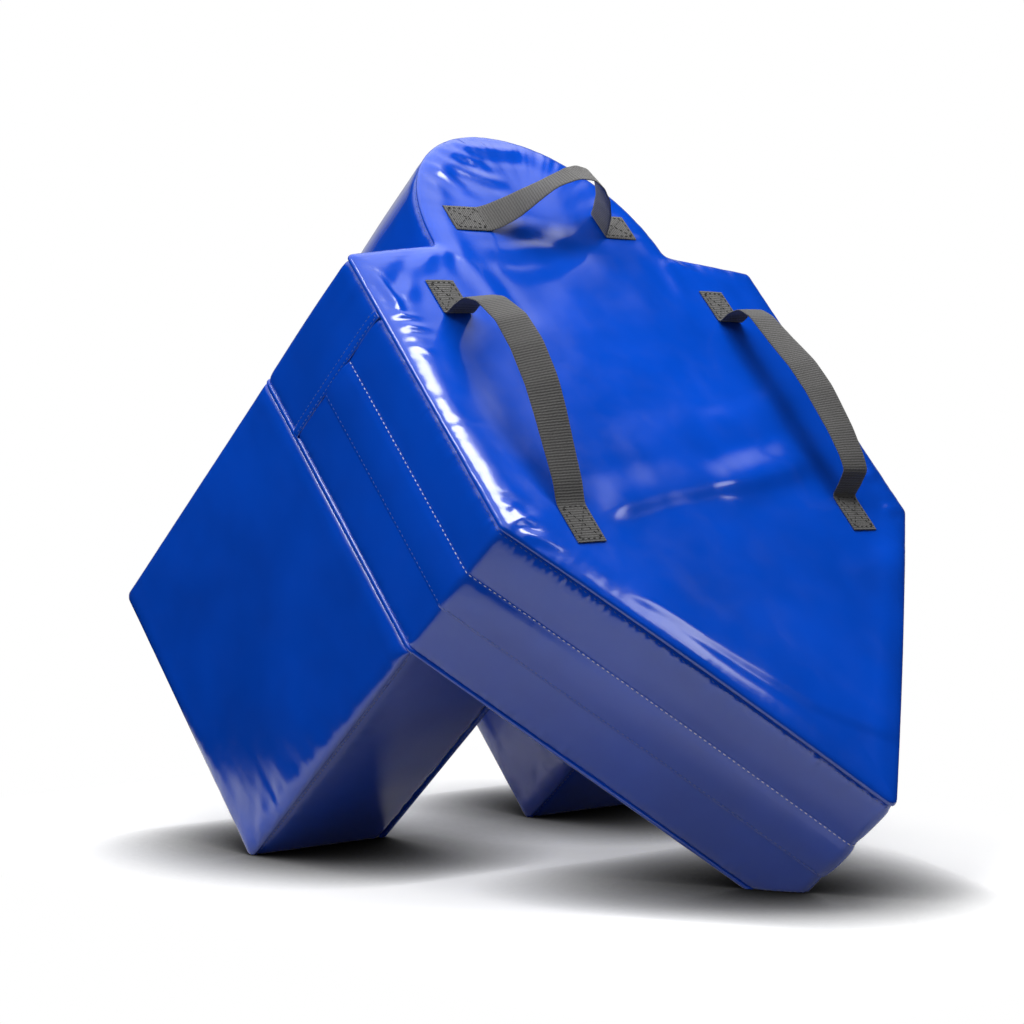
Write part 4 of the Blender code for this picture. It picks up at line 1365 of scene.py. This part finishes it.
class SHIELD_OT_zip(Operator):
    """Give the zip under the flap, and the patches behind the face, their finishes"""

    bl_idname = "tackle_shield.zip"
    bl_label = "Zip and Patches"

    def execute(self, context):
        finishes = {"zip_stringer": "zip_tape", "zip_": "zip_metal", "_patch": "reinforcing_fabric"}
        for name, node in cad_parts.items():
            for part, finish in finishes.items():
                if part in name:
                    node.data.materials.clear()
                    node.data.materials.append(finish_named(finish))
                    break
        return {"FINISHED"}


# The handles


# Each strap's middle line between its tabs, as (place along it, height over the face) points, and
# how it twists: (angle, where along it, over what share)
STRAPS = {
    "left": {
        "centre": -0.220, "start": 0.097, "end": 0.378, "twist": (0.36, 0.48, 0.36),
        "course": (
            (0.0985, 0.018), (0.1040, 0.037), (0.1210, 0.051), (0.1600, 0.0625), (0.2000, 0.0620),
            (0.2470, 0.0530), (0.2820, 0.0410), (0.3180, 0.0270), (0.3560, 0.0125),
        ),
    },
    "right": {
        "centre": 0.220, "start": 0.097, "end": 0.378, "twist": (0.30, 0.52, 0.34),
        "course": (
            (0.0985, 0.018), (0.1070, 0.035), (0.1260, 0.043), (0.1700, 0.0480), (0.2150, 0.0545),
            (0.2550, 0.0550), (0.3150, 0.0485), (0.3500, 0.0415), (0.3680, 0.0350), (0.3750, 0.0150),
        ),
    },
    "head": {
        "centre": -0.062, "start": -0.093, "end": 0.093, "twist": (0.55, 0.36, 0.22),
        "course": (
            (-0.0800, 0.007), (-0.0620, 0.0230), (-0.0450, 0.0450), (-0.0270, 0.0680),
            (-0.0080, 0.0820), (0.0120, 0.0850), (0.0350, 0.0770), (0.0580, 0.0600),
            (0.0780, 0.0350), (0.0890, 0.0120),
        ),
    },
}
# What a strap's first and last sewn end are called
END_NAMES = {"left": ("upper", "lower"), "right": ("upper", "lower"), "head": ("left", "right")}


def eased_line(points, step):
    """A polyline resampled at a step, with its corners rounded over as much."""
    points = np.array(points)
    fine = 0.0005
    lengths = lengths_along(points)
    dense = sampled(np.arange(0, lengths[-1], fine), lengths, points)
    span = int(step / fine)
    window = 2 * span + 1
    for _ in range(2):
        before = np.repeat(dense[:1], span, axis=0)
        past = np.repeat(dense[-1:], span, axis=0)
        total = np.cumsum(np.concatenate([np.zeros((1, 2)), before, dense, past]), axis=0)
        smooth = (total[window:] - total[:-window]) / window
        row = np.arange(len(dense))
        held = np.minimum(row, row[::-1])[:, None] < 2 * span
        dense = np.where(held, dense, smooth)
    lengths = lengths_along(dense)
    places = np.linspace(0, lengths[-1], int(lengths[-1] / step))
    return sampled(places, lengths, dense), places


def on_face(name, along, side, height):
    """Standing points over the face, along a strap and to its side."""
    u, v = (along, side) if name == "head" else (side, along)
    return stood(*swell(u, v, np.zeros_like(u) - height))


def strap_line(strap):
    """The strap's middle line as (place, height) points: tab, loop and tab."""
    lie = STRAP_LIFT + STRAP_THICKNESS / 2
    tabs = [(strap["start"] - TAB_LENGTH, 0.0), (strap["start"], 0.0)]
    ends = [(strap["end"], 0.0), (strap["end"] + TAB_LENGTH, 0.0)]
    points = [(place, height + lie) for place, height in (*tabs, *strap["course"], *ends)]
    return eased_line(points, STRAP_COLUMN)


def strap_section():
    """The webbing's cross-section: (across, through) points round its rounded edges."""
    half = STRAP_WIDTH / 2
    thick = STRAP_THICKNESS / 2
    across = np.linspace(-half + 0.0008, half - 0.0008, 11)
    camber = 0.00025 * (1 - (across / half) ** 2)
    top = [(a, thick + c - 0.0002) for a, c in zip(across, camber)]
    low = [(a, -thick + 0.0002) for a in across[::-1]]
    right = [(half, thick * 0.45), (half, -thick * 0.45)]
    left = [(-half, -thick * 0.45), (-half, thick * 0.45)]
    return top + right + low + left


def strap_places(name, line, s):
    """Webbing along a line, as (rows round it, columns along it) of standing points."""
    strap = STRAPS[name]
    up = left_of(line)
    share = since(s, TAB_LENGTH, s[-1] - 2 * TAB_LENGTH)
    angle, centre, width = strap["twist"]
    lean = angle * hump(share, centre, width) * np.sin(math.pi * share) ** 0.5
    rows = []
    flats = []
    for across, through in strap_section():
        sideways = across * np.cos(lean) - through * np.sin(lean)
        rise = through * np.cos(lean) + across * np.sin(lean)
        place, height = lifted(line, up, rise)
        rows.append(on_face(name, place, strap["centre"] + sideways, height))
        underside = 0.1 if through < 0 else 0.0
        flats.append(np.stack([s, np.full_like(s, across + underside)], axis=-1))
    return np.array(rows), np.array(flats)


def strap_piece(part, columns, places, flats, start, end, nodes):
    """One half of a strap. Its start and end points are not used."""
    ring = np.swapaxes(places[:, columns], 0, 1)
    flat = np.swapaxes(flats[:, columns], 0, 1)
    mesh = grid_mesh(part, ring, flat, closed=True)
    close_ends(mesh)
    mesh.set_sharp_from_angle(angle=math.radians(60))
    piece = add_piece(part, mesh, finish_named("webbing"), None)
    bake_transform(piece)
    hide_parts(*nodes)


def on_strap(name, place, height=0.0):
    """A point of a strap's middle line, as a list."""
    return on_face(name, np.array(place), np.array(STRAPS[name]["centre"]), height).tolist()


class SHIELD_OT_handles(Operator):
    """Make the three webbing handles, each in two halves between its sewn ends and its loop"""

    bl_idname = "tackle_shield.handles"
    bl_label = "Handles"

    def execute(self, context):
        for name, strap in STRAPS.items():
            line, s = strap_line(strap)
            places, flats = strap_places(name, line, s)
            top = int(np.argmax(line[:, 1]))
            cut = GRIP_CUT + TAB_LENGTH
            first = line[int(np.searchsorted(s, cut))]
            last = line[int(np.searchsorted(s, s[-1] - cut))]
            one, other = (f"{name}_handle_{end}" for end in END_NAMES[name])
            strap_piece(
                f"{one}_webbing", slice(0, top + 1), places, flats,
                on_strap(name, strap["start"]), on_strap(name, *first),
                [f"{one}_end", f"{name}_handle_loop"],
            )
            strap_piece(
                f"{other}_webbing", slice(top, None), places, flats,
                on_strap(name, *last), on_strap(name, strap["end"]), [f"{other}_end"],
            )
        return {"FINISHED"}


# The stitching


# How far apart the points of a line of stitches are
STITCH_LINE_STEP = 0.003
# How far back from the face's plane the row along the strips' front edge is sewn
EDGE_ROW = 0.0128
# How far up from the hood's edge the two rows of its hem are sewn
HEM_ROWS = (0.0032, HEM_WIDTH - 0.0014)
# How far inside a tab's edge its box is sewn
BOX_INSET = 0.0042


def stitch_form(length, radius):
    """One stitch lying along x, sunk at both ends."""
    points = []
    # (place along it, share of its thickness, how far it is sunk), for each ring of points
    for x, size, sink in ((-0.5, 0.45, -0.9), (-0.32, 0.95, 0.0), (0.32, 0.95, 0.0), (0.5, 0.45, -0.9)):
        for k in range(6):
            angle = math.pi * k / 3
            y = math.cos(angle) * size * radius
            z = math.sin(angle) * size * radius + sink * radius
            points.append((x * length, y, z))
    faces = []
    for ring in (0, 6, 12):
        for k in range(6):
            a = ring + k
            b = ring + (k + 1) % 6
            faces.append((a, b, b + 6, a + 6))
    faces.append(tuple(range(5, -1, -1)))
    faces.append(tuple(range(18, 24)))
    return np.array(points), faces


def stitch_row(line, outward):
    """Stitches along a line of standing points, each lying on the side that outward gives."""
    thread = settings().shield_thread
    form, faces = stitch_form(thread.stitch * 0.60, thread.thickness / 2)
    lengths = lengths_along(line)
    count = max(1, int(lengths[-1] / thread.stitch))
    middles = (np.arange(count) + 0.5) * lengths[-1] / count
    centre = sampled(middles, lengths, line)
    near = 0.001
    ahead = unit(sampled(middles + near, lengths, line) - sampled(middles - near, lengths, line))
    up = sampled(middles, lengths, outward)
    up = unit(up - (up * ahead).sum(axis=1)[:, None] * ahead)
    across = np.cross(up, ahead)
    parts = []
    for c, a, b, w in zip(centre, ahead, across, up):
        placed = c + form[:, :1] * a + form[:, 1:2] * b + form[:, 2:] * w
        parts.append((placed.tolist(), faces))
    return parts


def facing(direction, count):
    """The same outward direction for each point of a line."""
    return np.repeat([direction], count, axis=0)


def add_stitching(name, rows, finish, nodes=()):
    """Rows of stitches as one piece."""
    parts = [part for row in rows for part in row]
    mesh = joined(name, parts)
    mesh.shade_smooth()
    add_piece(name, mesh, finish_named(finish), "shield", nodes)


def strip_line(s, n, lift):
    """Standing points and outward directions on a strip, at distances s, depths n and lifts."""
    point, outward = OUTLINE.at(s)
    ends = []
    for more in (0.0, 0.01):
        u, v = lifted(point, outward, lift + more)
        ends.append(stood(*swell(u, v, n + np.zeros_like(u))))
    way = ends[1] - ends[0]
    length = np.linalg.norm(way, axis=1)[:, None]
    return ends[0], way / np.where(length < 1e-6, 1, length)


class SHIELD_OT_stitching(Operator):
    """Sew the topstitching along the cover's seams and hems, and the boxes on the handles' tabs"""

    bl_idname = "tackle_shield.stitching"
    bl_label = "Stitching"

    def execute(self, context):
        sunk = -settings().shield_thread.thickness * 0.12
        s = lower_run(-FLAP_SHORT, STITCH_LINE_STEP)
        lower = lower_run(0.0, STITCH_LINE_STEP)
        left, right = hem_run(0.0)
        upper = np.linspace(left + 0.002, right - 0.002, int((right - left) / STITCH_LINE_STEP))

        def row(places, depth, lift, more=0.0):
            n = np.array([depth])
            return stitch_row(*strip_line(places, depth, lift(n, places)[0] + sunk + more))

        add_stitching("flap_stitching", [row(s, FLAP_SEAM + 0.0022, flap_lift, 0.0001)], "pale_thread")
        edge_rows = [
            row(s, FLAP_EDGE - 0.0040, flap_lift), row(lower, EDGE_ROW, front_lift),
            row(upper, EDGE_ROW, hood_lift),
        ]
        add_stitching("edge_stitching", edge_rows, "blue_thread")
        add_hem_stitching(left, right, sunk + 0.0002)
        add_leg_stitching()
        add_tab_stitching()
        return {"FINISHED"}


def add_hem_stitching(left, right, more):
    """Two rows along the hood's hem on each side."""
    rows = []
    n = np.linspace(0.013, PANEL_DEPTH - 0.013, 80)
    for start, way in ((left, 1), (right, -1)):
        for up in HEM_ROWS:
            place = np.array([start + way * up])
            lift = hood_lift(n, place)[:, 0] + more
            u, v = lifted(*OUTLINE.at(np.repeat(place, len(n))), lift)
            side = math.copysign(1, u[0])
            rows.append(stitch_row(stood(*swell(u, v, n)), facing([side, 0, 0], len(n))))
    add_stitching("hem_stitching", rows, "blue_thread")


def add_leg_stitching():
    """A row along the lower seam of each leg's side panels."""
    rows = []
    count = 110
    for side in (-1, 1):
        for plane, way in ((PANEL_WIDTH / 2, 1), (LEG_INNER, -1)):
            u = np.full(count, side * (plane - way * LEG_SEAM_INSET))
            v = np.full(count, TORSO_LENGTH + 0.0001)
            n = np.linspace(PANEL_DEPTH + 0.012, LEG_END - 0.016, count)
            here = stood(*swell(u, v, n))
            rows.append(stitch_row(here, facing([0, -IN_SHARE, -DOWN_SHARE], count)))
    add_stitching("leg_stitching", rows, "blue_thread")


def tab_corners(name, end):
    """The corners of a sewn box, round it, as (along the strap, across it) points."""
    strap = STRAPS[name]
    half = STRAP_WIDTH / 2 - BOX_INSET
    start = strap["end"] if end else strap["start"] - TAB_LENGTH
    near = start + BOX_INSET
    far = start + TAB_LENGTH - BOX_INSET
    low = strap["centre"] - half
    high = strap["centre"] + half
    return (near, low), (far, low), (far, high), (near, high)


def add_tab_stitching():
    """A box with a cross in it on each tab."""
    top = STRAP_LIFT + STRAP_THICKNESS + 0.00030
    share = np.linspace(0, 1, 16)
    for name in STRAPS:
        for end in (0, 1):
            a, b, c, d = tab_corners(name, end)
            rows = []
            for p, q in ((a, b), (b, c), (c, d), (d, a), (a, c), (b, d)):
                along = p[0] + (q[0] - p[0]) * share
                side = p[1] + (q[1] - p[1]) * share
                here = on_face(name, along, side, top)
                rows.append(stitch_row(here, facing([0, -DOWN_SHARE, IN_SHARE], len(share))))
            box = f"{name}_handle_{END_NAMES[name][end]}"
            add_stitching(f"{box}_box", rows, "dark_thread", [f"{box}_stitching"])


# The stage


class SHIELD_OT_stage(Operator):
    """Set the pale floor, the soft studio light and the camera"""

    bl_idname = "tackle_shield.stage"
    bl_label = "Stage"

    def execute(self, context):
        make_floor()
        make_lamps()
        make_world()
        make_camera()
        view = context.scene.view_settings
        view.view_transform = "Standard"
        return {"FINISHED"}


def seen_by_eye(finish):
    """1 for what the camera, a reflection or glass sees, and 0 for what lights the object."""
    path = finish.node("ShaderNodeLightPath")
    seen = finish.math("ADD", path.outputs["Is Camera Ray"], path.outputs["Is Glossy Ray"])
    seen = finish.math("ADD", seen, path.outputs["Is Transmission Ray"])
    return finish.math("MINIMUM", seen, 1.0)


def make_floor():
    """A pale floor. Nearby it shows its light and the shield's shadow, and further off it is white."""
    stage = settings().shield_stage
    rings = np.concatenate([[0.0], np.geomspace(0.4, stage.floor_radius, 14)])
    turn = np.linspace(0, 2 * math.pi, 65)[:-1]
    x = np.outer(rings, np.cos(turn))
    places = np.stack([x, np.outer(rings, np.sin(turn)), np.zeros_like(x)], axis=-1)
    mesh = tidy(grid_mesh("floor", places, places[..., :2], closed=True), (0, 0, -5))
    floor = bpy.data.objects.new("floor", mesh)
    bpy.context.scene.collection.objects.link(floor)
    floor.data.materials.append(floor_finish())


def floor_finish():
    """A painted shadow at the contacts, the floor's own light near them, and white away from the
    shield.
    """
    finish = Finish("pale_floor")
    finish.tree.nodes.remove(finish.shader)
    # Painted shadow: ambient occlusion darkens the floor's colour and its glow near the shield, for the
    # camera only.
    contact = finish.node("ShaderNodeAmbientOcclusion", Distance=0.18)
    contact.samples = 16
    shade = finish.math("POWER", contact.outputs["AO"], 3.6)
    seen = seen_by_eye(finish)
    eye = finish.node("ShaderNodeLightPath").outputs["Is Camera Ray"]
    shade = finish.math("MAXIMUM", shade, finish.math("SUBTRACT", 1.0, eye))
    pale = finish.math("MULTIPLY", shade, finish.between(eye, 0.0, 1.0, 0.78, 1.15))
    lit = finish.node("ShaderNodeBsdfDiffuse")
    finish.link(finish.blend(seen, 0.25, pale), lit.inputs["Color"])
    glow = finish.node("ShaderNodeEmission")
    finish.link(finish.math("MULTIPLY", eye, shade), glow.inputs["Strength"])
    away = distance_from_shield(finish)
    white = finish.between(away, 0.0, 0.26, 0.40, 1.0, True)
    to_eye = finish.math("MULTIPLY", white, eye)
    dull = finish.between(away, 0.20, 0.40, 0.0, 1.0)
    to_gloss = finish.math("MULTIPLY", dull, finish.math("SUBTRACT", seen, eye))
    mixed = finish.node("ShaderNodeMixShader")
    finish.link(finish.math("ADD", to_eye, to_gloss), mixed.inputs["Fac"])
    finish.link(lit.outputs[0], mixed.inputs[1])
    finish.link(glow.outputs[0], mixed.inputs[2])
    finish.link(mixed.outputs[0], finish.tree.nodes["Material Output"].inputs["Surface"])
    return finish.material


def distance_from_shield(finish):
    """How far a place on the floor is outside the rectangle that the shield stands on."""
    reach = (PANEL_WIDTH / 2 + 0.03, CAD_BOX[1][1] + 0.08, 0.0)
    beyond = finish.vectors("SUBTRACT", finish.vectors("ABSOLUTE", finish.place()), reach)
    return finish.vectors("LENGTH", finish.vectors("MAXIMUM", beyond, (0.0, 0.0, 0.0)))


# (name, place, what it aims at, width, depth, brightness, turn in degrees, whether reflections show it)
LAMPS = (
    ("overhead", (-0.1, 0.1, 2.4), (-0.1, 0.1, 0.0), 2.3, 2.3, 0.7, 45, False),
    ("top_key", (-0.6, 0.5, 2.5), (-0.1, 0.0, 0.4), 1.2, 1.2, 2.5, 0, False),
    ("back_key", (0.9, 1.1, 2.6), (0.0, 0.0, 0.3), 1.0, 1.0, 5.0, 0, False),
    ("edge_box", (0.52, -0.80, 2.4), (-0.3, -0.1, 0.5), 0.80, 0.50, 8.0, -20, True),
    ("face_key", (0.10, -0.60, 1.62), (0.0, -0.05, 0.65), 0.7, 0.5, 3.4, 0, False),
    ("low_box", (0.90, -1.05, 1.68), (-0.10, -0.37, 0.26), 0.56, 0.26, 2.4, -20, True),
    ("left_strip", (-1.35, -0.35, 2.1), (-0.3, -0.1, 0.5), 0.5, 0.5, 10.0, 0, True),
    ("left_bank", (-2.3, 0.2, 1.9), (-0.3, 0.0, 0.4), 1.4, 1.2, 3.6, 0, False),
)


def make_lamps():
    """Soft boxes. Their brightness is what a lit side shows, whatever its size."""
    for name, place, aim, width, depth, brightness, turn, shows in LAMPS:
        light = bpy.data.lights.new(name, "AREA")
        light.shape = "RECTANGLE"
        light.size = width
        light.size_y = depth
        light.energy = brightness * 4 * width * depth
        thing = bpy.data.objects.new(name, light)
        bpy.context.scene.collection.objects.link(thing)
        way = (Vector(aim) - Vector(place)).to_track_quat("-Z", "Y").to_matrix().to_4x4()
        spun = Matrix.Rotation(math.radians(turn), 4, "Z")
        thing.matrix_world = Matrix.Translation(place) @ way @ spun
        thing.visible_glossy = shows


def make_world():
    """White to the eye. What shines sees a pale ceiling, which fades out, and a pale far side."""
    world = bpy.data.worlds.new("studio")
    bpy.context.scene.world = world
    world.use_nodes = True
    room = Nodes(world.node_tree)
    back = room.tree.nodes["Background"]
    path = room.node("ShaderNodeLightPath")
    place = room.node("ShaderNodeTexCoord").outputs["Generated"]

    def towards(direction, *levels):
        return room.between(room.vectors("DOT_PRODUCT", place, direction), *levels)

    far_side = towards((0.658, 0.752, 0.0), 0.80, 0.94, 0.004, 0.45)
    ceiling = towards((-0.60, 0.45, 0.66), 0.060, 0.185, 0.0, 1.10, True)
    overhead = towards((0.0, 0.0, 1.0), 0.45, 0.65, 0.0, 1.0, True)
    shown = room.math("MAXIMUM", far_side, room.math("MULTIPLY", ceiling, overhead))
    reflected = room.math("ADD", path.outputs["Is Glossy Ray"], path.outputs["Is Transmission Ray"])
    ambient = room.blend(reflected, 0.18, shown)
    back.inputs["Color"].default_value = (1.0, 1.0, 1.0, 1.0)
    room.link(room.blend(path.outputs["Is Camera Ray"], ambient, 1.0), back.inputs["Strength"])


# Found from the straight edges in the photo
CAMERA_PLACE = (-2.12597, -2.30327, 0.53218)
CAMERA_TURN = (87.7197, -0.0748, -41.2061)


def make_camera():
    """The camera, where the photo was taken from."""
    data = bpy.data.cameras.new("camera")
    data.lens = settings().shield_stage.lens
    data.sensor_width = 36.0
    data.clip_start = 0.05
    data.clip_end = 100.0
    camera = bpy.data.objects.new("camera", data)
    bpy.context.scene.collection.objects.link(camera)
    camera.location = CAMERA_PLACE
    camera.rotation_euler = [math.radians(angle) for angle in CAMERA_TURN]
    bpy.context.scene.camera = camera


# The add-on


class SHIELD_PT_looks(Panel):
    bl_idname = "SHIELD_PT_looks"
    bl_label = "Tackle Shield"
    bl_space_type = "VIEW_3D"
    bl_region_type = "UI"
    bl_category = "Tackle Shield"

    def draw(self, context):
        layout = self.layout
        scene = context.scene
        groups = (scene.shield_cover, scene.shield_handles, scene.shield_thread, scene.shield_stage)
        for group in groups:
            box = layout.box()
            for key in group.__annotations__:
                box.prop(group, key)
        for operator in OPERATORS:
            layout.operator(operator.bl_idname)


GROUPS = (CoverSettings, HandleSettings, ThreadSettings, StageSettings)
OPERATORS = (
    SHIELD_OT_panels,
    SHIELD_OT_strips,
    SHIELD_OT_legs,
    SHIELD_OT_foam,
    SHIELD_OT_zip,
    SHIELD_OT_handles,
    SHIELD_OT_stitching,
    SHIELD_OT_stage,
)


def register():
    for thing in (*GROUPS, *OPERATORS, SHIELD_PT_looks):
        bpy.utils.register_class(thing)
    bpy.types.Scene.shield_cover = PointerProperty(type=CoverSettings)
    bpy.types.Scene.shield_handles = PointerProperty(type=HandleSettings)
    bpy.types.Scene.shield_thread = PointerProperty(type=ThreadSettings)
    bpy.types.Scene.shield_stage = PointerProperty(type=StageSettings)


def unregister():
    for name in ("shield_cover", "shield_handles", "shield_thread", "shield_stage"):
        delattr(bpy.types.Scene, name)
    for thing in reversed((*GROUPS, *OPERATORS, SHIELD_PT_looks)):
        bpy.utils.unregister_class(thing)


def main():
    register()
    bpy.ops.tackle_shield.panels()
    bpy.ops.tackle_shield.strips()
    bpy.ops.tackle_shield.legs()
    bpy.ops.tackle_shield.foam()
    bpy.ops.tackle_shield.zip()
    bpy.ops.tackle_shield.handles()
    bpy.ops.tackle_shield.stitching()
    bpy.ops.tackle_shield.stage()
    bpy.context.view_layer.update()


if __name__ == "__main__":
    main()
